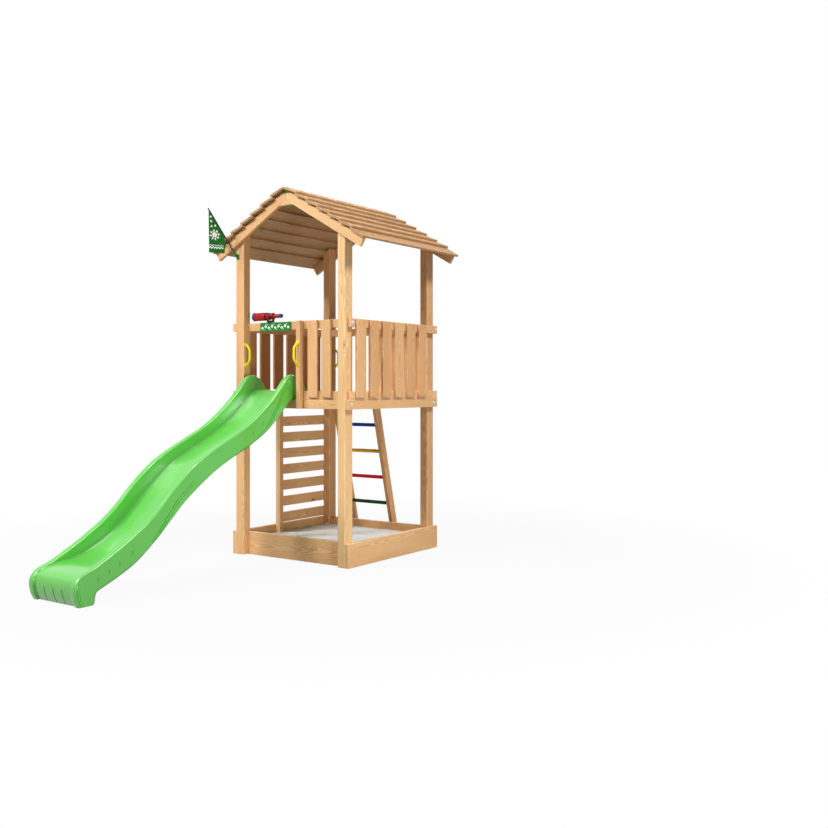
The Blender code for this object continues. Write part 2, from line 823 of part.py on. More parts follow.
def make_scope(yoke, pin_height):
    """The barrel is turned about Z with its front upwards, then laid down to point along -X."""
    front = scope_tube_front + scope_front_length
    neck = -scope_tube_back - scope_taper
    back = neck - scope_back_length
    outside = [
        (scope_front_radius, front),
        (scope_front_radius, scope_tube_front),
        (scope_tube_radius, scope_tube_front),
        (scope_tube_radius, -scope_tube_back),
        (scope_back_radius, neck),
        (scope_back_radius, back),
    ]
    inside = [
        (scope_back_radius - scope_wall, back),
        (scope_back_radius - scope_wall, neck),
        (scope_tube_radius - scope_wall, -scope_tube_back),
        (scope_tube_radius - scope_wall, scope_tube_front + scope_wall),
        (scope_front_radius - scope_wall, scope_tube_front + scope_wall),
        (scope_front_radius - scope_wall, front),
    ]
    barrel = add_turned("telescope_barrel", outside + inside + outside[:1], scope_red)
    barrel.parent = yoke
    barrel.location.z = pin_height
    barrel.rotation_euler.y = -math.pi / 2
    pin_start = scope_tube_radius - scope_wall / 2
    pin_length = scope_wall / 2 + scope_side_clearance + scope_plate
    for side, side_name in ((-1, "front"), (1, "back")):
        name = f"scope_pin_{side_name}"
        pin = add_cutter(name, rod_mesh(name, scope_pin_radius, pin_length))
        pin.parent = barrel
        pin.location.y = side * pin_start
        pin.rotation_euler.x = -side * math.pi / 2
        combine(barrel, pin, "UNION")
    ring_start = front + gap
    ring_end = ring_start + scope_ring_length
    ring = add_turned(
        "telescope_front_ring",
        [
            (0, ring_end - scope_lens_recess),
            (scope_ring_bore, ring_end - scope_lens_recess),
            (scope_ring_bore, ring_end),
            (scope_ring_radius, ring_end),
            (scope_ring_radius, ring_start),
            (0, ring_start),
        ],
        scope_blue,
    )
    ring.parent = barrel
    flat = math.asin(scope_eyepiece_seat / scope_eyepiece_radius)
    turns = [flat + (math.pi - flat) * i / 8 for i in range(9)]
    radius = scope_eyepiece_radius
    ball = [(radius * math.sin(a), radius * (math.cos(a) - math.cos(flat))) for a in turns]
    eyepiece = add_turned("telescope_eyepiece", [(0, 0)] + ball, scope_blue)
    eyepiece.parent = barrel
    eyepiece.location.z = back - gap


def make_sign():
    middle = slide_centre + sign_offset
    top = railing_top - sign_drop
    y0, y1 = signed(-1, member_face + gap, member_face + gap + sign_thick)
    board = ((middle - sign_width / 2, y0, top - sign_height), (middle + sign_width / 2, y1, top))
    sign = add_piece("sign_plate", boxes_mesh("sign_plate", [board]), leaf_green, 0.4)
    chamfer(sign, sign_thick / 5)


def make_flag():
    run = pole_tip - pole_foot
    turn = run.to_track_quat("Z", "Y").to_euler()
    way = run.normalized()
    pole = add_piece("flag_pole", rod_mesh("flag_pole", pole_radius, run.length - socket_floor, 12), black, 0.4)
    smooth(pole.data)
    pole.rotation_euler = turn
    pole.location = pole_foot + way * socket_floor
    face = -outer_y - gap
    half_width = socket_plate_width / 2
    half_height = socket_plate_height / 2
    plate = [
        (
            (pole_foot.x - half_width, face - socket_plate_thick, pole_foot.z - half_height),
            (pole_foot.x + half_width, face, pole_foot.z + half_height),
        )
    ]
    holder = add_piece("flag_holder", boxes_mesh("flag_holder", plate), leaf_green, 0.4)
    socket = add_cutter("flag_socket", rod_mesh("flag_socket", socket_radius, socket_length))
    bore = add_cutter("flag_bore", rod_mesh("flag_bore", pole_radius + gap, socket_length, 12))
    for tool, start in ((socket, 0), (bore, socket_floor - gap)):
        tool.rotation_euler = turn
        tool.location = pole_foot + way * start
    combine(holder, socket, "UNION")
    combine(holder, bore, "DIFFERENCE")
    make_pennant(way)


def make_pennant(way):
    """Cloth that hangs straight down from the outer part of the pole, with two soft folds."""
    inward = Vector((-way.x, -way.y, 0)).normalized()
    rise = way.z / Vector((way.x, way.y)).length
    drop = (pole_radius + gap) * math.hypot(1, rise)
    sideways = inward.cross(Vector((0, 0, 1)))
    columns = 8
    rows = 8
    start = pole_radius
    shape = bmesh.new()
    bmesh.ops.create_grid(shape, x_segments=columns, y_segments=rows, size=0.5)
    for corner in shape.verts:
        across = corner.co.x + 0.5
        down = 0.5 - corner.co.y
        along = start + pennant_width * across
        top = pole_tip.z - along * rise - drop
        bottom = pole_tip.z - pennant_height
        z = top + (bottom - top) * down
        fold = pennant_fold * down * math.sin(3 * math.pi * across)
        corner.co = Vector((pole_tip.x, pole_tip.y, 0)) + inward * along + sideways * fold
        corner.co.z = z
    mesh = bpy.data.meshes.new("flag_pennant")
    shape.to_mesh(mesh)
    shape.free()
    smooth(mesh)
    pennant = add_piece("flag_pennant", mesh, leaf_green, 0.8)
    solidify = pennant.modifiers.new("Cloth", "SOLIDIFY")
    solidify.thickness = pennant_thick
    solidify.offset = 0


clear_scene()
parts = new_collection("play_tower")
cutters = new_collection("cutters")
make_posts()
make_doorway_posts()
make_sandbox_and_beams()
make_sand()
make_floor()
make_balustrade()
make_gables()
make_apex_plate()
make_roof()
make_ladder()
make_climbing_wall()
make_slide()
make_handles()
make_scope(*make_scope_mount())
make_sign()
make_flag()
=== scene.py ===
import math
import random

import bmesh
import bpy
from mathutils import Matrix, Vector, noise


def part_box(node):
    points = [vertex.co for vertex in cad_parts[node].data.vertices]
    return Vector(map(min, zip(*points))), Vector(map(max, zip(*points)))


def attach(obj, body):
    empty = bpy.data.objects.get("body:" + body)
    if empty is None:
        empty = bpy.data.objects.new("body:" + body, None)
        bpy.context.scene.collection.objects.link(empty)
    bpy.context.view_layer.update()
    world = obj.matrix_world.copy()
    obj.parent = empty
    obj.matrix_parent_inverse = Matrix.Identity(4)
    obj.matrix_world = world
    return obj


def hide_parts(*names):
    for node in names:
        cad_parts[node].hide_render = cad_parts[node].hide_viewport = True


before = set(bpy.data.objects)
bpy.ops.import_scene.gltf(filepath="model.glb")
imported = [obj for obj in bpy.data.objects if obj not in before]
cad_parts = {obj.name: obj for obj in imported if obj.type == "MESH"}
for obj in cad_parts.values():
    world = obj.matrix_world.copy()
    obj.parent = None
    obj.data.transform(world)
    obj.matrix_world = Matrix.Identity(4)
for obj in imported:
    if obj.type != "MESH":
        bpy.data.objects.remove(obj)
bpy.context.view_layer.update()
print("frame loaded")

# camera, lights and floor

view = {
    "place": (4.9468, -6.0594, 1.3269),
    "turn": 34.645,  # degrees left of straight on
    "lens": 41.95,
    "shiftY": -0.0339,
}
studio = {
    "floorColour": (0.35, 0.35, 0.35),
    "floorSize": 40,
    "floorWhite": 0.94,  # share of plain white in what the camera sees of the floor, near the tower
    "whiteFrom": (1.8, 4.2),  # it grows to all white between these distances
    "ambient": 0.08,
    # name: (place, aimed at, width, watts, spread in degrees, colour)
    "lamps": {
        "left": ((-4.6, -6.4, 7.2), (0.0, -0.4, 1.2), 1.6, 500, 180, (1.0, 0.99, 0.975)),
        "front": ((-1.2, -7.4, 7.6), (0.0, -0.4, 1.2), 1.6, 510, 180, (1.0, 0.99, 0.975)),
        "right": ((6.1, -0.5, 7.9), (0.0, -0.2, 1.2), 1.6, 590, 180, (1.0, 0.99, 0.98)),
        "low": ((6.0, -2.9, 0.5), (0.0, -0.9, 0.5), 1.4, 20, 62, (1.0, 0.98, 0.95)),
        "behind": ((-5.4, 6.2, 4.6), (0.0, -0.4, 1.0), 3.0, 220, 180, (1.0, 1.0, 1.0)),
    },
}
white = (1, 1, 1)


def wire(tree, value, socket):
    if isinstance(value, bpy.types.NodeSocket):
        tree.links.new(value, socket)
    else:
        socket.default_value = (*value, 1) if socket.type == "RGBA" else value


def addNode(tree, kind, inputs=None, **settings):
    made = tree.nodes.new("ShaderNode" + kind)
    for label, value in settings.items():
        setattr(made, label, value)
    for label, value in (inputs or {}).items():
        wire(tree, value, made.inputs[label])
    return made


def calc(tree, operation, first, second=0.0, third=0.0):
    return addNode(tree, "Math", {0: first, 1: second, 2: third}, operation=operation).outputs[0]


def vectorCalc(tree, operation, first, second=(0, 0, 0)):
    made = addNode(tree, "VectorMath", {0: first, 1: second}, operation=operation)
    return made.outputs["Value" if operation in ("LENGTH", "DISTANCE") else "Vector"]


def remap(tree, value, low, high, toLow=0.0, toHigh=1.0, soft=False):
    inputs = {"Value": value, "From Min": low, "From Max": high, "To Min": toLow, "To Max": toHigh}
    kind = "SMOOTHSTEP" if soft else "LINEAR"
    return addNode(tree, "MapRange", inputs, interpolation_type=kind).outputs[0]


def mixColour(tree, amount, first, second):
    return addNode(tree, "Mix", {0: amount, 6: first, 7: second}, data_type="RGBA").outputs[2]


def stretch(tree, vector, scale):
    return addNode(tree, "Mapping", {"Vector": vector, "Scale": scale}).outputs[0]


def speckle(tree, vector, scale, detail=2.0, rough=0.5):
    inputs = {"Vector": vector, "Scale": scale, "Detail": detail, "Roughness": rough}
    return addNode(tree, "TexNoise", inputs).outputs["Fac"]


def addObject(name, data):
    made = bpy.data.objects.new(name, data)
    bpy.context.scene.collection.objects.link(made)
    return made


def meshFrom(bm, name):
    mesh = bpy.data.meshes.new(name)
    bm.to_mesh(mesh)
    bm.free()
    return mesh


def makeCamera():
    camera = addObject("camera", bpy.data.cameras.new("camera"))
    camera.location = view["place"]
    camera.rotation_euler = (math.pi / 2, 0, math.radians(view["turn"]))
    camera.data.sensor_width = 36
    camera.data.lens = view["lens"]
    camera.data.shift_y = view["shiftY"]
    bpy.context.scene.camera = camera


def makeLamps():
    for name, (place, aim, width, watts, spread, colour) in studio["lamps"].items():
        lamp = addObject(name, bpy.data.lights.new(name, "AREA"))
        lamp.location = place
        lamp.rotation_euler = (Vector(aim) - Vector(place)).to_track_quat("-Z", "Y").to_euler()
        lamp.data.size = width
        lamp.data.energy = watts
        lamp.data.spread = math.radians(spread)
        lamp.data.color = colour


def makeWorld():
    # white to the camera and in reflections, and faint as a light
    world = bpy.data.worlds.new("studio")
    bpy.context.scene.world = world
    world.use_nodes = True
    tree = world.node_tree
    path = addNode(tree, "LightPath").outputs
    seen = calc(tree, "MAXIMUM", path["Is Glossy Ray"], path["Is Transmission Ray"])
    seen = calc(tree, "MAXIMUM", path["Is Camera Ray"], seen)
    sky = tree.nodes["Background"].inputs
    wire(tree, white, sky["Color"])
    wire(tree, remap(tree, seen, 0, 1, studio["ambient"], 1.0), sky["Strength"])


def makeFloor():
    material = bpy.data.materials.new("studioFloor")
    material.use_nodes = True
    tree = material.node_tree
    tree.nodes.remove(tree.nodes["Principled BSDF"])
    matt = addNode(tree, "BsdfDiffuse", {"Color": studio["floorColour"]})
    glow = addNode(tree, "Emission", {"Color": white, "Strength": 1.0})
    path = addNode(tree, "LightPath").outputs
    seen = calc(tree, "MAXIMUM", path["Is Camera Ray"], path["Is Glossy Ray"])
    away = vectorCalc(tree, "LENGTH", addNode(tree, "NewGeometry").outputs["Position"])
    share = remap(tree, away, *studio["whiteFrom"], studio["floorWhite"], 1.0, soft=True)
    share = calc(tree, "MULTIPLY", seen, share)
    both = addNode(tree, "MixShader", {0: share, 1: matt.outputs[0], 2: glow.outputs[0]})
    wire(tree, both.outputs[0], tree.nodes["Material Output"].inputs["Surface"])
    bm = bmesh.new()
    bmesh.ops.create_grid(bm, x_segments=1, y_segments=1, size=studio["floorSize"])
    floor = addObject("studioFloor", meshFrom(bm, "studioFloor"))
    floor.data.materials.append(material)


makeCamera()
makeWorld()
makeLamps()
makeFloor()
bpy.context.scene.view_settings.view_transform = "Standard"
print("camera and studio ready")

# finishes

timberLook = {
    # name: (light wood, pink wood, late wood, ring width, contrast)
    "pine": ((0.88, 0.60, 0.29), (0.84, 0.46, 0.22), (0.44, 0.19, 0.065), 0.0052, 0.48),
    # the roof's planks are much darker than the other pine; this is partly painted shade for their undersides under
    # the roof
    "roofPineWithPaintedShade": ((0.54, 0.36, 0.165), (0.50, 0.275, 0.13), (0.28, 0.12, 0.042), 0.0052, 0.50),
    "deckPine": ((0.54, 0.35, 0.16), (0.50, 0.28, 0.13), (0.28, 0.13, 0.045), 0.0055, 0.45),
    "knot": (0.13, 0.05, 0.018),
    "knotPlaces": (4.2, 9, 9),  # cells per metre along and across the grain
    "knotSize": (0.30, 0.072),  # share of the cells without one, and the largest in them
    # the paler arrises are partly rubbed wear and partly a painted highlight
    "wornAndLit": (0.95, 0.78, 0.50),
    "wearAndHighlight": 0.55,
    "paleEdgePatch": 0.08,
    "grainDepth": 0.0006,
}


def newGroup(name, inputs, outputs):
    group = bpy.data.node_groups.new(name, "ShaderNodeTree")
    for way, sockets in (("INPUT", inputs), ("OUTPUT", outputs)):
        for label, kind in sockets.items():
            group.interface.new_socket(label, in_out=way, socket_type="NodeSocket" + kind)
    return group, group.nodes.new("NodeGroupInput").outputs, group.nodes.new("NodeGroupOutput").inputs


def makeGrainGroup():
    # growth rings round a pith that lies beside the board, with fibres and knots
    group, given, out = newGroup(
        "timberGrain",
        {"Place": "Vector", "Tone": "Float", "Shade": "Float", "Light Wood": "Color", "Pink Wood": "Color",
         "Late Wood": "Color", "Knot": "Color", "Ring Width": "Float", "Contrast": "Float"},
        {"Color": "Color", "Height": "Float", "Roughness": "Float"},
    )
    place, lateWood = given["Place"], given["Late Wood"]
    wander = addNode(group, "TexNoise", {"Vector": stretch(group, place, (1.6, 5, 5)), "Scale": 1.0}).outputs
    sway = vectorCalc(group, "SUBTRACT", wander["Color"], (0.5, 0.5, 0.5))
    bent = vectorCalc(group, "ADD", place, vectorCalc(group, "MULTIPLY", sway, (0.05, 0.05, 0.05)))

    knotPlace = stretch(group, place, timberLook["knotPlaces"])
    knotCell = addNode(group, "TexVoronoi", {"Vector": knotPlace, "Scale": 1.0}).outputs
    knotChance = addNode(group, "SeparateColor", {0: knotCell["Color"]}).outputs[0]
    without, largest = timberLook["knotSize"]
    knotRim = calc(group, "SUBTRACT", knotCell["Distance"], remap(group, knotChance, without, 1, 0.0, largest))
    knotMask = remap(group, knotRim, 0.012, -0.008, soft=True)
    bulge = remap(group, knotRim, 0.30, 0.0, 0.0, -0.011, soft=True)

    radius = vectorCalc(group, "LENGTH", vectorCalc(group, "MULTIPLY", bent, (0, 1, 1)))
    turn = calc(group, "DIVIDE", calc(group, "ADD", radius, bulge), given["Ring Width"])
    ring = calc(group, "FRACT", turn)
    late = calc(group, "MULTIPLY", remap(group, ring, 0.25, 0.88, soft=True), remap(group, ring, 1.0, 0.93))
    fibre = speckle(group, stretch(group, place, (9, 330, 330)), 1.0, 3.0, 0.6)
    cloud = speckle(group, stretch(group, place, (1.1, 7, 7)), 1.0, 2.0)

    base = mixColour(group, given["Tone"], given["Light Wood"], given["Pink Wood"])
    # shade from 0.45 up darkens the wood towards the late wood; shades above 1 are painted shade
    base = mixColour(group, remap(group, given["Shade"], 0.45, 1.75), base, lateWood)
    mask = calc(group, "MULTIPLY", late, given["Contrast"])
    mask = calc(group, "ADD", mask, remap(group, fibre, 0.35, 0.75, -0.06, 0.16))
    mask = calc(group, "ADD", mask, remap(group, cloud, 0.35, 0.7, -0.10, 0.16))
    wood = mixColour(group, remap(group, mask, 0, 1), base, lateWood)
    wood = mixColour(group, remap(group, knotRim, 0.10, 0.0, 0.0, 0.45, soft=True), wood, lateWood)
    wood = mixColour(group, calc(group, "MULTIPLY", knotMask, 0.85), wood, given["Knot"])
    height = calc(group, "ADD", calc(group, "MULTIPLY", late, 0.35), calc(group, "MULTIPLY", fibre, 0.65))
    height = calc(group, "SUBTRACT", height, calc(group, "MULTIPLY", knotMask, 0.3))
    wire(group, wood, out["Color"])
    wire(group, height, out["Height"])
    wire(group, remap(group, fibre, 0.3, 0.7, 0.52, 0.70), out["Roughness"])
    return group


def makeRubbedAndLitEdgeGroup():
    # paler arrises in patches, from the mesh's own mask of rounded edges: partly rubbed wear, partly a painted
    # highlight on the edges
    group, given, out = newGroup(
        "edgeWearAndHighlight",
        {"Place": "Vector", "Color": "Color", "Worn Color": "Color", "Edge": "Float", "Amount": "Float",
         "Patch Size": "Float"},
        {"Color": "Color"},
    )
    patch = speckle(group, given["Place"], calc(group, "DIVIDE", 1.0, given["Patch Size"]), 3.0)
    mask = calc(group, "MULTIPLY", given["Edge"], remap(group, patch, 0.38, 0.62, soft=True))
    mask = calc(group, "MULTIPLY", mask, given["Amount"])
    wire(group, mixColour(group, mask, given["Color"], given["Worn Color"]), out["Color"])
    return group


def makeSkinGroup():
    # moulded plastic: fine orange peel, faint flow clouds, small scuffs
    group, given, out = newGroup(
        "mouldedSkin",
        {"Place": "Vector", "Color": "Color", "Deep Color": "Color", "Peel Size": "Float", "Gloss Low": "Float",
         "Gloss High": "Float"},
        {"Color": "Color", "Height": "Float", "Roughness": "Float"},
    )
    place, low = given["Place"], given["Gloss Low"]
    cloud = speckle(group, place, 5.0, 3.0)
    peel = speckle(group, place, calc(group, "DIVIDE", 1.0, given["Peel Size"]), 1.0)
    scuff = speckle(group, stretch(group, place, (60, 14, 14)), 1.0, 4.0, 0.7)
    scuff = remap(group, scuff, 0.60, 0.72, soft=True)
    flow = remap(group, cloud, 0.3, 0.75, 0.0, 0.35)
    wire(group, mixColour(group, flow, given["Color"], given["Deep Color"]), out["Color"])
    wire(group, peel, out["Height"])
    base = calc(group, "MULTIPLY_ADD", cloud, calc(group, "SUBTRACT", given["Gloss High"], low), low)
    wire(group, calc(group, "MULTIPLY_ADD", scuff, 0.04, base), out["Roughness"])
    return group


def makeDustGroup():
    # a little pale dust where the surface looks up
    group, given, out = newGroup(
        "settledDust",
        {"Place": "Vector", "Color": "Color", "Dust Color": "Color", "Amount": "Float"},
        {"Color": "Color", "Mask": "Float"},
    )
    up = addNode(group, "SeparateXYZ", {0: addNode(group, "NewGeometry").outputs["Normal"]}).outputs["Z"]
    patch = speckle(group, given["Place"], 9.0, 5.0, 0.65)
    mask = calc(group, "MULTIPLY", remap(group, up, 0.3, 0.95, soft=True), given["Amount"])
    mask = calc(group, "MULTIPLY", mask, remap(group, patch, 0.4, 0.7, soft=True))
    wire(group, mixColour(group, mask, given["Color"], given["Dust Color"]), out["Color"])
    wire(group, mask, out["Mask"])
    return group


grainGroup = makeGrainGroup()
rubbedAndLitEdgeGroup = makeRubbedAndLitEdgeGroup()
skinGroup = makeSkinGroup()
dustGroup = makeDustGroup()


def newFinish(name, **shaderValues):
    material = bpy.data.materials.new(name)
    material.use_nodes = True
    shader = material.node_tree.nodes["Principled BSDF"]
    for label, value in shaderValues.items():
        shader.inputs[label.replace("_", " ")].default_value = value
    return material, material.node_tree, shader


def attribute(tree, name, output="Fac"):
    return addNode(tree, "Attribute", attribute_name=name, attribute_type="GEOMETRY").outputs[output]


def objectPlace(tree):
    return addNode(tree, "TexCoord").outputs["Object"]


def dress(tree, shader, colour, roughness, height=None, depth=0.0, strength=1.0):
    wire(tree, colour, shader.inputs["Base Color"])
    wire(tree, roughness, shader.inputs["Roughness"])
    if height is not None:
        bump = addNode(tree, "Bump", {"Height": height, "Distance": depth, "Strength": strength})
        wire(tree, bump.outputs[0], shader.inputs["Normal"])


def placeGroup(tree, group, **inputs):
    made = addNode(tree, "Group", node_tree=group)
    for label, value in inputs.items():
        wire(tree, value, made.inputs[label.replace("_", " ")])
    return made.outputs


def makeTimber(name):
    light, pink, late, ring, contrast = timberLook[name]
    material, tree, shader = newFinish(name, Specular_IOR_Level=0.35)
    place = attribute(tree, "grainPlace", "Vector")
    grain = placeGroup(
        tree, grainGroup, Place=place, Tone=attribute(tree, "boardTone"), Shade=attribute(tree, "boardShade"),
        Light_Wood=light, Pink_Wood=pink, Late_Wood=late, Knot=timberLook["knot"], Ring_Width=ring,
        Contrast=contrast,
    )
    wornAndLit = placeGroup(
        tree, rubbedAndLitEdgeGroup, Place=place, Color=grain["Color"], Worn_Color=timberLook["wornAndLit"],
        Edge=attribute(tree, "edgeMask"), Amount=timberLook["wearAndHighlight"], Patch_Size=timberLook["paleEdgePatch"],
    )
    dress(tree, shader, wornAndLit["Color"], grain["Roughness"], grain["Height"], timberLook["grainDepth"])
    return material


plasticLook = {
    # name: (colour, deep colour, peel size, gloss low, gloss high, dust)
    "slideGreen": ((0.088, 0.48, 0.048), (0.068, 0.41, 0.036), 0.0022, 0.26, 0.36, 0.04),
    "handleYellow": ((0.86, 0.74, 0.012), (0.76, 0.62, 0.008), 0.0015, 0.25, 0.38, 0.03),
    "scopeRed": ((0.38, 0.002, 0.004), (0.28, 0.002, 0.003), 0.0010, 0.24, 0.34, 0.02),
    "scopeDarkRed": ((0.20, 0.002, 0.004), (0.14, 0.001, 0.003), 0.0010, 0.26, 0.36, 0.02),
    "scopeBlue": ((0.010, 0.055, 0.34), (0.006, 0.035, 0.22), 0.0010, 0.20, 0.30, 0.02),
    "blackPlastic": ((0.014, 0.014, 0.015), (0.008, 0.008, 0.009), 0.0008, 0.35, 0.50, 0.08),
    "leafGreen": ((0.006, 0.20, 0.020), (0.004, 0.15, 0.014), 0.0012, 0.30, 0.42, 0.05),
    "signWhite": ((0.90, 0.94, 0.90), (0.80, 0.88, 0.82), 0.0010, 0.32, 0.44, 0.03),
    "capPale": ((0.60, 0.72, 0.80), (0.50, 0.62, 0.72), 0.0008, 0.28, 0.40, 0.05),
}
coated = {"slideGreen": {"Specular_IOR_Level": 0.5, "Coat_Weight": 0.85, "Coat_Roughness": 0.18}}
dustColour = (0.6, 0.57, 0.5)


def makePlastic(name):
    colour, deep, peel, glossLow, glossHigh, dust = plasticLook[name]
    material, tree, shader = newFinish(name, **coated.get(name, {"Specular_IOR_Level": 0.25}))
    place = objectPlace(tree)
    skin = placeGroup(
        tree, skinGroup, Place=place, Color=colour, Deep_Color=deep, Peel_Size=peel, Gloss_Low=glossLow,
        Gloss_High=glossHigh,
    )
    dusty = placeGroup(tree, dustGroup, Place=place, Color=skin["Color"], Dust_Color=dustColour, Amount=dust)
    roughness = calc(tree, "MULTIPLY_ADD", dusty["Mask"], 0.5, skin["Roughness"])
    dress(tree, shader, dusty["Color"], roughness, skin["Height"], peel * 0.04, 0.6)
    return material


paintLook = {
    "rungBlue": (0.004, 0.065, 0.46),
    "rungYellow": (0.84, 0.50, 0.014),
    "rungRed": (0.80, 0.004, 0.024),
    "rungGreen": (0.003, 0.080, 0.014),
}
scrapedWood = (0.62, 0.42, 0.22)


def makePaint(name):
    # paint over round timber, with its grain showing through and worn where feet stand
    material, tree, shader = newFinish(name, Specular_IOR_Level=0.2)
    place = objectPlace(tree)
    fibre = speckle(tree, stretch(tree, place, (9, 260, 260)), 1.0, 3.0, 0.6)
    patch = speckle(tree, stretch(tree, place, (9, 40, 40)), 1.0, 4.0, 0.7)
    scrape = calc(tree, "MULTIPLY", remap(tree, patch, 0.70, 0.74), remap(tree, fibre, 0.45, 0.55))
    paint, thin = paintLook[name], [part * 0.7 for part in paintLook[name]]
    colour = mixColour(tree, remap(tree, fibre, 0.3, 0.8, 0, 0.3), paint, thin)
    colour = mixColour(tree, scrape, colour, scrapedWood)
    dress(tree, shader, colour, remap(tree, fibre, 0.3, 0.7, 0.34, 0.46), fibre, 0.0004)
    return material


def makeSteel():
    material, tree, shader = newFinish("zincSteel", Metallic=1.0)
    spot = speckle(tree, objectPlace(tree), 900.0, 2.0)
    colour = mixColour(tree, spot, (0.16, 0.14, 0.11), (0.30, 0.27, 0.22))
    dress(tree, shader, colour, remap(tree, spot, 0.3, 0.7, 0.32, 0.5))
    return material


def makeGlass():
    material, tree, shader = newFinish("lensGlass", IOR=1.45, Roughness=0.03, Coat_Weight=0.5)
    # the lens's colour pales towards glancing angles: a painted reflection
    edge = addNode(tree, "LayerWeight", {"Blend": 0.25}).outputs["Facing"]
    tintAndPaintedReflection = mixColour(tree, edge, (0.035, 0.06, 0.11), (0.25, 0.34, 0.45))
    smear = remap(tree, speckle(tree, objectPlace(tree), 60.0, 3.0), 0.5, 0.8, 0, 0.12)
    wire(tree, mixColour(tree, smear, tintAndPaintedReflection, (0.5, 0.55, 0.6)), shader.inputs["Base Color"])
    return material


sandLook = {"light": (0.84, 0.87, 0.85), "dark": (0.66, 0.65, 0.62), "grain": 0.0012}


def makeSand():
    material, tree, shader = newFinish("playSand", Specular_IOR_Level=0.2)
    place = objectPlace(tree)
    cell = addNode(tree, "TexVoronoi", {"Vector": place, "Scale": 1 / sandLook["grain"]}).outputs
    grainTone = addNode(tree, "SeparateColor", {0: cell["Color"]}).outputs[0]
    damp = remap(tree, speckle(tree, place, 4.0, 4.0), 0.35, 0.7, 0.0, 0.35)
    tone = calc(tree, "MULTIPLY_ADD", grainTone, 0.55, damp)
    colour = mixColour(tree, tone, sandLook["light"], sandLook["dark"])
    heap = speckle(tree, place, 55.0, 5.0, 0.7)
    height = calc(tree, "ADD", calc(tree, "MULTIPLY", heap, 3.0), cell["Distance"])
    dress(tree, shader, colour, remap(tree, grainTone, 0, 1, 0.85, 1.0), height, sandLook["grain"])
    return material


finish = {name: makeTimber(name) for name in ("pine", "roofPineWithPaintedShade", "deckPine")}
finish.update({name: makePlastic(name) for name in plasticLook})
finish.update({name: makePaint(name) for name in paintLook})
finish.update(zincSteel=makeSteel(), lensGlass=makeGlass(), playSand=makeSand())
print("finishes ready")

# timber

sawn = {
    "rounding": 0.003,  # of the arrises
    "roundSteps": 3,
    "pith": (0.015, 0.10),  # how near and far the heart of the tree lies from the board's middle
    "lean": 1.3,  # degrees between the board and the tree
    "trunk": 50,  # length from which the boards are cut
    "pink": (0.25, 0.85),
}
gap = 0.0003  # left between touching pieces


def addPiece(name, mesh, material, stands=(), body="tower", smooth=True):
    piece = addObject(name, mesh)
    mesh.materials.append(finish[material])
    if smooth:
        mesh.shade_smooth()
    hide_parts(*stands)
    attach(piece, body)
    return piece


# (share of pink, share of shade) of the lengths whose tone the photo shows, some of them painted light and shade as
# marked below; the others take theirs by chance
toneWithPaintedLightAndShade = {
    "post_front_right": (0.15, 0.1),
    "post_front_left": (0.62, 0.45),
    "post_back_right": (0.55, 0.95),
    "post_back_left": (0.55, 0.8),
    "sandbox_board_front": (0.62, 0.3),
    "sandbox_board_right": (0.40, 0.2),
    "deck_beam_right": (0.45, 0.65),
    "deck_beam_front": (0.50, 0.4),
    "gable_front 1": (0.35, 0.3),
    # painted shade: the left front rafter is darker for the shadow of the planks overhanging it
    "gable_front -1": (0.50, 0.8),
    # painted light: the slats and the climbing upright take no shade, lighter to stand in for light under the deck
    "climbing upright": (0.45, 0.1),
    **{f"slat {i}": (0.35 + 0.04 * i, 0.05 * (i % 3)) for i in range(7)},
    # painted shade: the left boards' shade above 1 darkens them for the shade on their inner faces under the roof
    **{f"left board {i}": (0.55 + 0.06 * (i % 3), 1.15 + 0.05 * i) for i in range(6)},
    **{f"right board {i}": (0.40 + 0.14 * (i % 3), 0.70 + 0.12 * (i * 2 % 3)) for i in range(6)},
}


def dressTimber(bm, grain, seed, rounding=None):
    # rounds the arrises and writes where each point lies in the tree
    chance = random.Random(seed)
    edgeMask = bm.faces.layers.float.new("edgeMask")
    rounded = bmesh.ops.bevel(
        bm, geom=bm.edges[:], offset=rounding or sawn["rounding"], segments=sawn["roundSteps"], profile=0.5,
        affect="EDGES",
    )
    for face in rounded["faces"]:
        face[edgeMask] = 1.0
    grain = Vector(grain).normalized()
    across = grain.orthogonal().normalized()
    third = grain.cross(across)
    middle = sum((v.co for v in bm.verts), Vector()) / len(bm.verts)
    angle = chance.uniform(0, 2 * math.pi)
    far = chance.uniform(*sawn["pith"])
    pith = Vector((far * math.cos(angle), far * math.sin(angle)))
    leans = [math.tan(math.radians(chance.uniform(-sawn["lean"], sawn["lean"]))) for _ in range(2)]
    along = chance.uniform(0, sawn["trunk"])
    tone, shade = toneWithPaintedLightAndShade.get(seed, (chance.uniform(*sawn["pink"]), chance.random()))
    grainPlace = bm.verts.layers.float_vector.new("grainPlace")
    boardTone = bm.verts.layers.float.new("boardTone")
    boardShade = bm.verts.layers.float.new("boardShade")
    for v in bm.verts:
        p = v.co - middle
        x = p.dot(grain)
        v[grainPlace] = (x + along, p.dot(across) + pith.x + x * leans[0], p.dot(third) + pith.y + x * leans[1])
        v[boardTone] = tone
        v[boardShade] = shade
    return bm


def boardMesh(low, high, grain, seed, place=None, reshape=None, rounding=None):
    # a straight length between two corners; grain is 0, 1 or 2 for X, Y or Z
    low, high = Vector(low), Vector(high)
    box = Matrix.Translation((low + high) / 2) @ Matrix.Diagonal((*(high - low), 1))
    bm = bmesh.new()
    bmesh.ops.create_cube(bm, size=1, matrix=box)
    if reshape:
        reshape(bm)
    dressTimber(bm, [float(i == grain) for i in range(3)], seed, rounding)
    if place:
        bm.transform(place)
    return meshFrom(bm, seed)


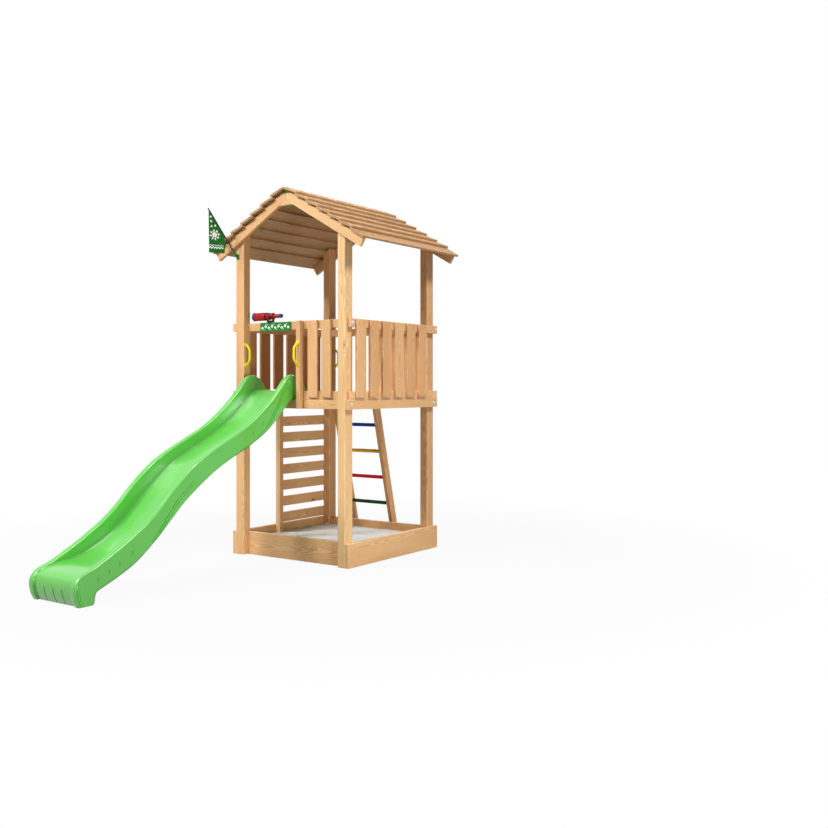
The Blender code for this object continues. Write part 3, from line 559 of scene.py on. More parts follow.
def bridge(bm, rings):
    # faces between each ring of points and the next
    for ring, following in zip(rings, rings[1:]):
        for i in range(len(ring)):
            j = (i + 1) % len(ring)
            bm.faces.new((ring[i], ring[j], following[j], following[i]))


def closedMesh(bm, rings, name):
    bridge(bm, rings)
    bm.faces.new(rings[0])
    bm.faces.new(rings[-1])
    bmesh.ops.recalc_face_normals(bm, faces=bm.faces)
    return meshFrom(bm, name)


def prism(outline, low, high, axis):
    # an outline in the plane square to the axis, from low to high along it
    bm = bmesh.new()
    rings = []
    for level in (low, high):
        corners = []
        for point in outline:
            corners.append(bm.verts.new((*point[:axis], level, *point[axis:])))
        rings.append(corners)
        bm.faces.new(corners)
    bridge(bm, rings)
    bmesh.ops.recalc_face_normals(bm, faces=bm.faces)
    return bm


def cutBoardMesh(outline, low, high, axis, grain, seed, rounding=None):
    return meshFrom(dressTimber(prism(outline, low, high, axis), grain, seed, rounding), seed)


def plainPrism(outline, low, high, axis, rounding):
    bm = prism(outline, low, high, axis)
    sharp = [e for e in bm.edges if e.calc_face_angle(0) > 0.6]
    bmesh.ops.bevel(bm, geom=sharp, offset=rounding, segments=2, profile=0.5, affect="EDGES")
    return meshFrom(bm, "prism")


def joined(meshes, name):
    bm = bmesh.new()
    for mesh in meshes:
        bm.from_mesh(mesh)
        bpy.data.meshes.remove(mesh)
    return meshFrom(bm, name)


def copies(mesh, places, name):
    meshes = []
    for place in places:
        meshes.append(mesh.copy())
        meshes[-1].transform(place)
    bpy.data.meshes.remove(mesh)
    return joined(meshes, name)


def addTimber(name, meshes, stands=(), material="pine"):
    piece = addPiece(name, joined(meshes, name), material, stands)
    piece.modifiers.new("flatFaces", "WEIGHTED_NORMAL").keep_sharp = True


def fromNode(node, grain, **settings):
    low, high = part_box(node)
    return boardMesh(low, high, grain, node, **settings)


def nodePoints(node):
    return [v.co.copy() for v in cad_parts[node].data.vertices]


roof = {
    "ridge": 2.815,
    "pitch": math.radians(30),
    "rafterLength": 0.860,
    "rafterDepth": 0.070,
    "apexGap": 0.0002,  # from the middle to each rafter
    "gussetDepth": 0.119,
    "gussetGap": 0.0006,  # under the rafters' joint
    "planks": 7,
}


def roofHeight(x):
    return roof["ridge"] - abs(x) * math.tan(roof["pitch"])


def cutToRoof(bm):
    top = max(v.co.z for v in bm.verts)
    for v in bm.verts:
        if v.co.z > top - 0.01:
            v.co.z = roofHeight(v.co.x)


def makeFrame():
    for end in ("front", "back"):
        for side in ("left", "right"):
            node = f"post_{end}_{side}"
            addTimber("corner_" + node, [fromNode(node, 2, reshape=cutToRoof, rounding=0.004)], [node])
    straight = {"doorway_post_front": 2, "front_top_rail": 0, "doorway_post_back": 2, "back_top_rail": 0}
    for kind in ("sandbox_board_", "deck_beam_"):
        straight.update({kind + "front": 0, kind + "back": 0, kind + "left": 1, kind + "right": 1})
    for node, grain in straight.items():
        addTimber(node + "_timber", [fromNode(node, grain)], [node])


balustrade = {
    "railHeight": 0.063,
    "bottomRailHeight": 0.0645,
    "deckTop": 1.223,
    "top": 1.820,
    "boardThick": 0.020,
    "boardFoot": 1.241,
    "boardHead": 1.818,
    "sideFace": 0.55,  # from the middle to the rails at the sides
    "sideThick": 0.0347,
    "sideCount": 6,
    "sideBoard": 0.112,
    "sidePitch": 0.160,
    "endRail": (0.507, 0.535),  # from the middle to both faces of the rails at the ends
    "endRailEnd": 0.4817,
    "endBoard": 0.090,
    "endPitch": 0.132,
    # side: (sign, first board, start of the rails, end of the rails)
    "sides": {"left": (-1, -0.420, -0.580, 0.565), "right": (1, -0.505, -0.555, 0.590)},
    # end: (sign, start of the rail, first board, boards)
    "ends": {"front": (-1, 0.076, 0.171, 2), "back": (1, 0.020, 0.100, 3)},
}


def signedSpan(sign, near, thick):
    return sorted((sign * near, sign * (near + thick)))


def makeBalustrade():
    b = balustrade
    foot, head, deckFace = b["boardFoot"], b["boardHead"], b["deckTop"] + gap
    levels = ((deckFace, deckFace + b["bottomRailHeight"]), (b["top"] - b["railHeight"], b["top"]))
    for side, (sign, first, start, end) in b["sides"].items():
        x0, x1 = signedSpan(sign, b["sideFace"] + gap, b["sideThick"])
        rails = [boardMesh((x0, start, z0), (x1, end, z1), 1, f"{side} rail {z0}") for z0, z1 in levels]
        addTimber(f"side_rails_{side}", rails, [f"side_panel_{side}"])
        x0, x1 = signedSpan(sign, b["sideFace"] + gap + b["sideThick"], b["boardThick"])
        boards = []
        for i in range(b["sideCount"]):
            y = first + i * b["sidePitch"]
            boards.append(boardMesh((x0, y, foot), (x1, y + b["sideBoard"], head), 2, f"{side} board {i}"))
        addTimber(f"side_boards_{side}", boards)
    near, far = b["endRail"]
    z0, z1 = levels[0]
    for end, (sign, start, first, count) in b["ends"].items():
        y0, y1 = sorted((sign * near, sign * far))
        rail = boardMesh((start, y0, z0), (b["endRailEnd"], y1, z1), 0, f"{end} bottom rail")
        addTimber(f"{end}_bottom_rail", [rail], [f"{end}_panel"])
        y0, y1 = signedSpan(sign, far + gap, b["boardThick"])
        boards = []
        for i in range(count):
            x = first + i * b["endPitch"]
            boards.append(boardMesh((x, y0, foot), (x + b["endBoard"], y1, head), 2, f"{end} board {i}"))
        addTimber(f"{end}_boards", boards)


deck = {
    "under": 1.2233,
    "top": 1.2433,
    "boards": 8,
    "slit": 0.005,
    "inner": 0.482,  # half the width that the boards between the posts take up
    # end: (length up to the doorway, length beside its post, where the longer boards stop in X)
    "front": (0.535, 0.5065, 0.075),
    "back": (0.535, 0.5065, 0.019),
    # (from X, to X, front end) of the outer boards
    "edges": ((-0.55, -0.487, -0.5095), (0.487, 0.55, -0.4895)),
    "edgeBack": 0.4895,
    "joist": 0.040,
    "joistAt": 0.300,
    "joistEnd": 0.55,
    "joistFoot": 1.155,
}


def deckSpans():
    pitch = (2 * deck["inner"] + deck["slit"]) / deck["boards"]
    starts = [i * pitch - deck["inner"] for i in range(deck["boards"] + 1)]
    return [(start, following - deck["slit"]) for start, following in zip(starts, starts[1:])]


def makeDeck():
    boards = []
    for i, (x0, x1) in enumerate(deckSpans()):
        front, back = [short if x1 > door else long for long, short, door in (deck["front"], deck["back"])]
        boards.append(boardMesh((x0, -front, deck["under"]), (x1, back, deck["top"]), 1, f"deck {i}"))
    for x0, x1, front in deck["edges"]:
        corners = (x0, front, deck["under"]), (x1, deck["edgeBack"], deck["top"])
        boards.append(boardMesh(*corners, 1, f"deck edge {x0}"))
    addTimber("deck_boards", boards, ["deck_floor"], "deckPine")
    joists = []
    half, end = deck["joist"] / 2, deck["joistEnd"]
    for y in (-deck["joistAt"], deck["joistAt"]):
        corners = (-end, y - half, deck["joistFoot"]), (end, y + half, deck["under"] - gap)
        joists.append(boardMesh(*corners, 0, f"joist {y}"))
    addTimber("deck_joists", joists, material="deckPine")


def makeGables():
    s, c = math.sin(roof["pitch"]), math.cos(roof["pitch"])
    length, depth, ridge = roof["rafterLength"], roof["rafterDepth"], roof["ridge"]
    inside, foot = ridge - depth / c, ridge - roof["gussetDepth"]
    gussetX = (roof["gussetDepth"] - depth / c) / math.tan(roof["pitch"])
    gusset = [(0, inside - roof["gussetGap"]), (gussetX, foot), (-gussetX, foot)]
    rafter = [
        (roof["apexGap"], ridge),
        (length * c, ridge - length * s),
        (length * c - depth * s, ridge - length * s - depth * c),
        (roof["apexGap"], inside),
    ]
    for end in ("front", "back"):
        node = f"gable_{end}"
        low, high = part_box(node)
        meshes = []
        for side in (-1, 1):
            outline = [(side * x, z) for x, z in rafter]
            meshes.append(cutBoardMesh(outline, low.y, high.y, 1, (side * c, 0, -s), f"{node} {side}", 0.002))
        meshes.append(cutBoardMesh(gusset, low.y, high.y, 1, (1, 0, 0), f"{node} gusset", 0.0015))
        addTimber(f"rafters_{end}", meshes, [node])


def slopeBox(points, turn):
    flat = Matrix.Rotation(-turn, 3, "Y")
    laid = [flat @ p for p in points]
    low = Vector([min(p[i] for p in laid) for i in range(3)])
    high = Vector([max(p[i] for p in laid) for i in range(3)])
    return low, high, (high.x - low.x) * (high.z - low.z)


def makePlanks():
    slopes = [math.radians(15 + 0.1 * i) for i in range(200)]
    for side, sign in (("left", -1), ("right", 1)):
        for number in range(1, roof["planks"] + 1):
            node = f"roof_plank_{side}_{number}"
            points = nodePoints(node)
            # the slope whose box is smallest is the plank's own
            best = min(slopes, key=lambda turn: slopeBox(points, sign * turn)[2])
            low, high, _ = slopeBox(points, sign * best)
            back = Matrix.Rotation(sign * best, 4, "Y")
            plank = boardMesh(low, high, 1, node, place=back, rounding=0.0025)
            addTimber(f"plank_{side}_{number}", [plank], [node], "roofPineWithPaintedShade")


def turned(profile, sides, name):
    # a profile of (radius, height) turned about Z, closed at both ends where it starts and ends on the axis
    bm = bmesh.new()
    rings = []
    for radius, z in profile:
        if radius < 1e-6:
            rings.append([bm.verts.new((0, 0, z))])
            continue
        turns = [2 * math.pi * i / sides for i in range(sides)]
        rings.append([bm.verts.new((radius * math.cos(a), radius * math.sin(a), z)) for a in turns])
    for upper, lower in zip(rings, rings[1:]):
        for i in range(sides):
            j = (i + 1) % sides
            order = ((upper, i), (upper, j), (lower, j), (lower, i))
            corners = list(dict.fromkeys(ring[k % len(ring)] for ring, k in order))
            if len(corners) > 2:
                bm.faces.new(corners)
    bmesh.ops.recalc_face_normals(bm, faces=bm.faces)
    return meshFrom(bm, name)


ladder = {
    "rails": {"left": (-0.4817, -0.4467), "right": (-0.0500, -0.0150)},
    "rungs": ("blue", "yellow", "red", "green"),
    "rungSides": 32,
    "rungRound": 0.003,
}


def makeLadder():
    for side, (x0, x1) in ladder["rails"].items():
        node = f"ladder_rail_{side}"
        low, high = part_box(node)
        foot = [p.y for p in nodePoints(node) if p.z < low.z + 0.0001]
        head = [p.y for p in nodePoints(node) if p.z > high.z - 0.0001]
        # from the foot up the outer face, over the top and down the upright face against the beam
        outline = [(min(foot), 0.0), (max(foot), 0.0), (max(head), high.z), (low.y, high.z)]
        outline.append((low.y, deck["joistFoot"]))
        lean = math.atan2(max(foot) - max(head), high.z)
        rail = cutBoardMesh(outline, x0, x1, 0, (0, -math.sin(lean), math.cos(lean)), node)
        addTimber(f"ladder_side_{side}", [rail], [node])
    soft = ladder["rungRound"]
    for number, colour in enumerate(ladder["rungs"], 1):
        node = f"ladder_rung_{number}"
        low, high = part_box(node)
        radius, half = (high.z - low.z) / 2, (high.x - low.x) / 2
        profile = [(0, half), (radius - soft, half)]
        for a in (0.5, 1.05, 1.57):
            profile.append((radius - soft + soft * math.sin(a), half - soft + soft * math.cos(a)))
        profile += [(r, -z) for r, z in reversed(profile)]
        mesh = turned(profile, ladder["rungSides"], f"rung_{number}")
        mesh.transform(Matrix.Translation((low + high) / 2) @ Matrix.Rotation(math.pi / 2, 4, "Y"))
        addPiece(f"rung_{number}_{colour}", mesh, "rung" + colour.title(), [node])


climbing = {
    "slats": 7,
    "top": 1.071,
    "pitch": 0.1335,
    "height": 0.082,
    "face": -0.55 - gap,
    "thick": 0.022,
    "slatSpan": (-0.0905, 0.58),
    "upright": 0.045,
    "uprightAt": (-0.55, -0.123, 0),
    "uprightTop": 1.223,
}


def makeClimbingWall():
    c = climbing
    x, (y0, y1) = c["face"], c["slatSpan"]
    slats = []
    for i in range(c["slats"]):
        z = c["top"] - i * c["pitch"]
        slats.append(boardMesh((x - c["thick"], y0, z - c["height"]), (x, y1, z), 1, f"slat {i}"))
    addTimber("climbing_slats", slats, ["climbing_wall"])
    low = Vector(c["uprightAt"])
    high = low + Vector((c["upright"], c["upright"], c["uprightTop"]))
    addTimber("climbing_upright", [boardMesh(low, high, 2, "climbing upright")])


makeFrame()
makeBalustrade()
makeDeck()
makeGables()
makePlanks()
makeLadder()
makeClimbingWall()
print("timber made")

# slide

slide = {
    "middle": -0.1945,
    "halfWidth": 0.230,
    "wall": 0.045,
    "skirt": 0.025,
    "shell": 0.014,
    "fillet": 0.005,
    "steps": 8,
    "rim": (
        (-0.420, 1.306), (-0.470, 1.376), (-0.565, 1.412), (-0.635, 1.383), (-0.700, 1.317),
        (-0.786, 1.231), (-0.914, 1.128), (-1.069, 1.029), (-1.254, 0.943), (-1.420, 0.866),
        (-1.565, 0.783), (-1.720, 0.655), (-1.835, 0.543), (-1.953, 0.447), (-2.100, 0.355),
        (-2.215, 0.292), (-2.345, 0.228), (-2.446, 0.186), (-2.493, 0.128), (-2.488, 0.055),
        (-2.462, 0.000),
    ),
    "bed": (
        (-0.420, 1.300), (-0.480, 1.299), (-0.550, 1.293), (-0.590, 1.272), (-0.630, 1.238),
        (-0.720, 1.152), (-0.860, 1.046), (-1.030, 0.953), (-1.215, 0.864), (-1.375, 0.786),
        (-1.500, 0.698), (-1.650, 0.580), (-1.760, 0.478), (-1.890, 0.366), (-2.060, 0.268),
        (-2.200, 0.226), (-2.340, 0.205), (-2.440, 0.178), (-2.485, 0.125), (-2.480, 0.055),
        (-2.455, 0.000),
    ),
    "lower": (
        (-0.420, 1.2436), (-0.470, 1.2436), (-0.538, 1.2436), (-0.568, 1.232), (-0.602, 1.209),
        (-0.694, 1.122), (-0.833, 1.004), (-1.005, 0.906), (-1.195, 0.822), (-1.352, 0.744),
        (-1.477, 0.667), (-1.632, 0.556), (-1.742, 0.456), (-1.873, 0.336), (-2.035, 0.214),
        (-2.180, 0.141), (-2.290, 0.096), (-2.335, 0.075), (-2.348, 0.045), (-2.353, 0.015),
        (-2.364, 0.000),
    ),
    # the pair of grooves along the outside: (station, share of the way down), and where it shows
    "grooveLine": ((0, 0.06), (2.6, 0.06), (4.0, 0.12), (5.0, 0.40), (6.0, 0.74), (7.0, 0.92), (8.5, 0.70),
                   (10.2, 0.50), (11.2, 0.46), (12.2, 0.60), (13.4, 0.92), (20, 0.92)),
    "grooveRuns": ((2.5, 7.0), (10.0, 13.6)),
    "pair": (0.018, 0.0085, 0.0075),  # between the two, width, depth
    # (place in widths, share of the depth) across a groove of the outside
    "grooveProfile": ((-0.7, 0), (-0.5, 0), (-0.3, 0.8), (0, 1), (0.3, 0.8), (0.5, 0), (0.7, 0)),
    # grooves round the front edge: (distance from the rim, width, depth)
    "frontGrooves": ((0.012, 0.009, 0.0050), (0.033, 0.005, 0.0025)),
    "frontRun": (17.0, 17.8),
    "spreadRun": (14, 17),  # the groove lines are drawn close together before it
    "noseGrooves": (0.0, 0.088),  # from the middle
    "noseGroove": (0.010, 0.0065),  # width, depth
    "noseRun": (18.25, 18.55),
    "noseSink": 0.005,  # of the front panel between the sides
    "noseSinkRun": (17.2, 18.2),
    "bedMarks": (0.03, 0.06, 0.11, 0.14),  # points across the bed beside those of the grooves
    "pips": (5.4, 6.1, 6.8, 14.0, 14.7, 15.4, 16.1),  # stations of the small ribs on both sides
    "pip": (0.012, 0.0032, 0.003),  # half length, half width, corner
    "pipRise": (-0.002, 0.005),
    "pipDown": 0.55,
}


def smoothLine(stations, steps):
    line = [Vector(p) for p in stations]
    padded = [2 * line[0] - line[1]] + line + [2 * line[-1] - line[-2]]
    points = []
    for before, start, end, after in zip(padded, padded[1:], padded[2:], padded[3:]):
        for step in range(steps):
            t = step / steps
            cubic = 2 * start + (end - before) * t
            cubic += (2 * before - 5 * start + 4 * end - after) * t**2
            cubic += (3 * start - before - 3 * end + after) * t**3
            points.append(cubic / 2)
    points.append(line[-1])
    return points


def ease(value, low, high):
    t = min(max((value - low) / (high - low), 0), 1)
    return t * t * (3 - 2 * t)


def onLine(value, points):
    for (a, low), (b, high) in zip(points, points[1:]):
        if value <= b:
            return low + (high - low) * (value - a) / (b - a)


def grooveShape(offset, width):
    # 1 in the middle of a groove and 0 at its sides
    return max(0.0, 1 - (2 * offset / width) ** 2) ** 0.6


def slideHalf(station, rim, bed, lower, forward):
    # half a section from the middle of the bed over the side, down outside and up under the bed
    s = slide
    outside, inside = s["halfWidth"], s["halfWidth"] - s["wall"]
    tall, down = rim - bed, lower - bed
    upward = tall.normalized()
    outward = Vector((-forward.y, forward.x))  # away from the underside
    if outward.dot(down) > 0:
        outward = -outward
    fillet = min(s["fillet"], tall.length * 0.35)
    flat = inside - fillet
    recess = s["noseSink"] * ease(station, *s["noseSinkRun"])
    width, cut = s["noseGroove"]
    cut *= ease(station, *s["noseRun"])
    middles = s["noseGrooves"]
    marks = {middle + k * width for middle in middles for k in (-0.65, -0.5, -0.28, 0, 0.28, 0.5, 0.65)}
    marks |= {*s["bedMarks"], flat - 0.012, flat}
    points = []
    for x in sorted(mark for mark in marks if mark >= 0):
        sink = recess + cut * max(grooveShape(x - middle, width) for middle in middles)
        points.append((x, bed - outward * sink))
    base = bed - outward * recess
    for a in [step * math.pi / 8 for step in (1, 2, 3, 4)]:
        points.append((flat + fillet * math.sin(a), base + upward * fillet * (1 - math.cos(a))))
    shoulder = min(0.86, max(0.3, 1 - 0.016 / tall.length))
    points += [(inside, base.lerp(bed + tall * shoulder, t)) for t in (0.35, 0.7)]
    half = s["wall"] / 2
    for a in map(math.radians, (8, 24, 42, 62, 90, 118, 138, 156, 172)):
        sideways = math.copysign(abs(math.cos(a)) ** 0.6, math.cos(a))
        raised = shoulder + (1 - shoulder) * math.sin(a) ** 0.6
        points.append((outside - half * (1 + sideways), bed + tall * raised))
    # the flat outside, with its grooves: (distance down, depth)
    top = bed + tall * (shoulder - 0.04)
    height = (lower - top).length
    drops = [(0, 0)]
    front = ease(station, *s["frontRun"])
    spread = 0.1 + 0.9 * ease(station, *s["spreadRun"])
    for place, width, deep in s["frontGrooves"]:
        drops += [((place + k * width) * spread, front * deep * share) for k, share in s["grooveProfile"]]
    apart, width, deep = s["pair"]
    place = max(0.046 * spread + 0.006, min(height * onLine(station, s["grooveLine"]), height - apart - 0.008))
    drops.append((0.041 * spread + (place - 0.041 * spread) * 0.4, 0))
    runs = s["grooveRuns"]
    deep *= sum(ease(station, start, start + 0.5) * (1 - ease(station, end - 0.8, end)) for start, end in runs)
    for centre in (place, place + apart):
        drops += [(centre + k * width, deep * share) for k, share in s["grooveProfile"]]
    drops += [(height - 0.006, 0), (height - 0.002, 0.0006), (height, 0.0025)]
    points += [(outside - sink, top.lerp(lower, drop / height)) for drop, sink in drops]
    under = min(s["shell"] / down.length, 0.6)
    inner = outside - s["skirt"]
    points += [(outside - 0.008, lower), (inner + 0.004, lower)]
    shares = (1 - 0.004 / down.length, under + (1 - under) * 0.5, under + 0.008 / down.length)
    points += [(inner, bed + down * share) for share in shares]
    return points + [(x, bed + down * under) for x in (inner - 0.006, 0.0)]


def roundedRectangle(x0, x1, z0, z1, radius, steps=5):
    left, right, low, high = x0 + radius, x1 - radius, z0 + radius, z1 - radius
    points = []
    for cx, cz, start in ((right, high, 0), (left, high, 90), (left, low, 180), (right, low, 270)):
        for a in [math.radians(start + 90 * i / steps) for i in range(steps + 1)]:
            points.append((cx + radius * math.cos(a), cz + radius * math.sin(a)))
    return points


def makeSlide():
    s = slide
    rims, beds, lowers = [smoothLine(s[name], s["steps"]) for name in ("rim", "bed", "lower")]
    bm = bmesh.new()
    rings = []
    for number, (rim, bed, lower) in enumerate(zip(rims, beds, lowers)):
        forward = (beds[min(number + 1, len(beds) - 1)] - beds[max(number - 1, 0)]).normalized()
        half = slideHalf(number / s["steps"], rim, bed, lower, forward)
        ring = [bm.verts.new((s["middle"] + x, p.x, p.y)) for x, p in half]
        ring += [bm.verts.new((s["middle"] - x, p.x, p.y)) for x, p in reversed(half[1:-1])]
        rings.append(ring)
    mesh = closedMesh(bm, rings, "slide_body")
    mesh.shade_smooth()
    mesh.set_sharp_from_angle(angle=math.radians(38))
    addPiece("slide_body", mesh, "slideGreen", ["slide"], smooth=False)

    # small moulded ribs on both sides
    long, wide, corner = s["pip"]
    rib = plainPrism(roundedRectangle(-long, long, -wide, wide, corner), *s["pipRise"], 2, 0.001)
    spots = []
    for number in [round(station * s["steps"]) for station in s["pips"]]:
        point = rims[number].lerp(lowers[number], s["pipDown"])
        for sign in (-1, 1):
            turn = Matrix.Rotation(sign * math.pi / 2, 4, "Y")
            spots.append(Matrix.Translation((s["middle"] + sign * s["halfWidth"], point.x, point.y)) @ turn)
    addPiece("slide_marks", copies(rib, spots, "slide_marks"), "slideGreen")


makeSlide()
print("slide made")

# sand

sandbox = {"cells": 110, "hill": (0.007, 4.2), "hump": (0.0035, 11), "ripple": (0.0014, 46)}  # (height, waves)


def makeSandFill():
    low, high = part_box("sand_fill")
    cells = sandbox["cells"]
    bm = bmesh.new()
    bmesh.ops.create_grid(bm, x_segments=cells, y_segments=cells, size=0.5)
    for v in bm.verts:
        x = low.x + (v.co.x + 0.5) * (high.x - low.x)
        y = low.y + (v.co.y + 0.5) * (high.y - low.y)
        z = high.z
        for name, seed in (("hill", 3.0), ("hump", 8.0), ("ripple", 1.0)):
            rise, waves = sandbox[name]
            z += rise * noise.noise(Vector((x * waves, y * waves, seed)))
        v.co = (x, y, z)
    made = bmesh.ops.extrude_edge_only(bm, edges=[e for e in bm.edges if e.is_boundary])
    for v in (item for item in made["geom"] if isinstance(item, bmesh.types.BMVert)):
        v.co.z = 0
    bmesh.ops.holes_fill(bm, edges=[e for e in bm.edges if e.is_boundary], sides=0)
    bmesh.ops.recalc_face_normals(bm, faces=bm.faces)
    addPiece("sand_surface", meshFrom(bm, "sand_surface"), "playSand", ["sand_fill"])


makeSandFill()
print("sand made")

# handles

handle = {
    "length": 0.200,
    "reach": 0.052,
    "radius": 0.0095,
    "start": 0.0062,  # of the bar, inside its pads
    "bend": 0.020,
    "padSides": 28,
    "pad": 0.018,
    "padThick": 0.008,
    # (share of the radius, share of the thickness) from the top of a pad to its foot
    "padProfile": ((0, 1), (0.55, 1), (0.82, 0.8), (0.96, 0.45), (1, 0.2), (1, 0), (0, 0)),
    "grip": 0.045,
    "sides": 20,
    # name: (x, y, quarter turns)
    "places": {
        "front_left": (-0.465 + gap, -0.5575, 1),
        "front_right": (0.095, -0.58 - gap, 0),
        "back_left": (-0.482 + gap, 0.5575, 1),
        "back_right": (0.039, 0.58 + gap, 2),
    },
}


def tube(points, radii, sides, name, squash):
    # a round bar along points, capped, that keeps one side direction
    bm = bmesh.new()
    rings = []
    sideways = Vector((1, 0, 0))
    for number, (point, radius) in enumerate(zip(points, radii)):
        way = (points[min(number + 1, len(points) - 1)] - points[max(number - 1, 0)]).normalized()
        up = way.cross(sideways).normalized() * squash
        turns = [2 * math.pi * i / sides for i in range(sides)]
        rim = [point + (sideways * math.cos(a) + up * math.sin(a)) * radius for a in turns]
        rings.append([bm.verts.new(place) for place in rim])
    return closedMesh(bm, rings, name)


def roundedLine(corners, reach, steps=6):
    # straight runs between the corners, which are rounded over this reach on both sides
    corners = [Vector(corner) for corner in corners]
    points = [corners[0]]
    for before, corner, after in zip(corners, corners[1:], corners[2:]):
        start = corner + (before - corner).normalized() * reach
        end = corner + (after - corner).normalized() * reach
        for t in [i / steps for i in range(steps + 1)]:
            points.append(start.lerp(corner, t).lerp(corner.lerp(end, t), t))
    points.append(corners[-1])
    evenly = []
    for a, b in zip(points, points[1:]):
        count = max(1, round((b - a).length / 0.005))
        evenly += [a.lerp(b, i / count) for i in range(count)]
    return evenly + [points[-1]]


def handleMesh():
    # stands out along -Y from the wall at Y = 0, between two round pads
    h = handle
    half, far = h["length"] / 2 - h["pad"], h["reach"] - h["radius"]
    corners = [(h["start"], -half), (far, -h["grip"]), (far, h["grip"]), (h["start"], half)]
    line = roundedLine(corners, h["bend"])
    points = [Vector((0, -p.x, p.y)) for p in line]
    radii = []
    for p in points:
        ridge = 0.0005 * math.cos(p.z / h["grip"] * math.pi * 3.5) if abs(p.z) < h["grip"] * 0.8 else 0.0
        radii.append(h["radius"] - 0.0006 + ridge)
    bar = tube(points, radii, h["sides"], "bar", 0.92)
    pad = turned([(r * h["pad"], z * h["padThick"]) for r, z in h["padProfile"]], h["padSides"], "pad")
    turn = Matrix.Rotation(math.pi / 2, 4, "X")
    pads = copies(pad, [Matrix.Translation((0, 0, z)) @ turn for z in (-half, half)], "pads")
    return joined([bar, pads], "handle")


def makeHandles():
    for name, (x, y, quarters) in handle["places"].items():
        low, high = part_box("handle_" + name)
        turn = Matrix.Rotation(quarters * math.pi / 2, 4, "Z")
        mesh = handleMesh()
        mesh.transform(Matrix.Translation((x, y, (low.z + high.z) / 2)) @ turn)
        addPiece("grab_" + name, mesh, "handleYellow", ["handle_" + name])


makeHandles()
print("handles made")

# telescope

scope = {
    "pin": (-0.235, -0.521, 1.868),
    "foot": 1.8203,
    "baseThick": 0.008,
    "cheek": (0.0275, 0.005),  # distance from the middle, thickness
    "cheekHalf": 0.010,
    "sides": 56,
    # turned parts: (rounding of the corners, (radius, place along the axis) of each)
    "base": (0.0015, ((0, 0.008), (0.0302, 0.008), (0.030, 0.0), (0, 0))),
    "bolt": (0.0007, (
        (0, 0.0156), (0.011, 0.0156), (0.011, 0.0136), (0.006, 0.0136), (0.006, 0.0078), (0, 0.0078),
    )),
    "plate": (0.001, ((0.0063, 0.0), (0.0063, 0.005), (0.030, 0.005), (0.030, 0.0), (0.0063, 0.0))),
    "front": (0.0012, (
        (0.0290, 0.1500), (0.0325, 0.1500), (0.0325, 0.0460), (0.0318, 0.0420), (0.0262, 0.0420),
        (0.0262, 0.0440), (0.0295, 0.0440), (0.0290, 0.1500),
    )),
    "middle": (0.0009, (
        (0.0230, 0.0430), (0.0260, 0.0430), (0.0260, 0.0300), (0.0252, 0.0290), (0.0252, 0.0270),
        (0.0260, 0.0260), (0.0260, -0.0330), (0.0165, -0.0420), (0.0130, -0.0420), (0.0225, -0.0330),
        (0.0230, 0.0430),
    )),
    "thin": (0.0006, (
        (0.0130, -0.0405), (0.0160, -0.0405), (0.0160, -0.0600), (0.0154, -0.0610), (0.0154, -0.0630),
        (0.0160, -0.0640), (0.0160, -0.0975), (0.0130, -0.0975), (0.0130, -0.0405),
    )),
    "collar": (0.0008, (
        (0.0258, 0.0255), (0.0290, 0.0240), (0.0290, 0.0120), (0.0258, 0.0105), (0.0258, 0.0255),
    )),
    "knob": (0.0008, ((0, 0.0335), (0.0046, 0.0335), (0.0046, 0.0258), (0, 0.0258))),
    "rim": (0.0012, (
        (0.0280, 0.1533), (0.0328, 0.1533), (0.0340, 0.1563), (0.0340, 0.1668), (0.0325, 0.1713),
        (0.0300, 0.1713), (0.0280, 0.1683), (0.0280, 0.1533),
    )),
    "lens": (0, (
        (0, 0.1658), (0.012, 0.1653), (0.021, 0.1638), (0.0279, 0.1618), (0.0279, 0.1593), (0, 0.1593),
    )),
    "ball": 0.0175,
    "ballMouth": 0.0145,
    "ballEnd": 0.42,  # angle left open at the eye
}


def softened(profile, radius):
    # the profile with its corners cut twice, so that it turns into rounded edges
    out = [profile[0]]
    for before, corner, after in zip(profile, profile[1:], profile[2:]):
        corner, before, after = Vector(corner), Vector(before), Vector(after)
        near = min(radius, (corner - before).length * 0.45, (after - corner).length * 0.45)
        start = corner + (before - corner).normalized() * near
        end = corner + (after - corner).normalized() * near
        out += [tuple(start), tuple((start + end + corner * 2) / 4), tuple(end)]
    out.append(profile[-1])
    return out


def scopePart(part, place, sides=scope["sides"]):
    rounding, profile = scope[part]
    mesh = turned(softened(profile, rounding) if rounding else profile, sides, part)
    mesh.transform(place)
    return mesh


def eyepieceProfile():
    # a ball with a flat mouth towards the thin tube and a raised rim at the eye
    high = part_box("telescope_eyepiece")[1]
    radius = scope["ball"]
    centre = scope["pin"][0] - (high.x - radius)
    mouth = math.asin(scope["ballMouth"] / radius)
    turns = [mouth + (math.pi - scope["ballEnd"] - mouth) * i / 16 for i in range(17)]
    ball = [(radius * math.sin(a), centre + radius * math.cos(a)) for a in turns]
    eye = ball[-1][1]
    return [(0, ball[0][1]), *ball, (0.0066, eye + 0.0005), (0.0060, eye + 0.0025), (0, eye + 0.0030)]


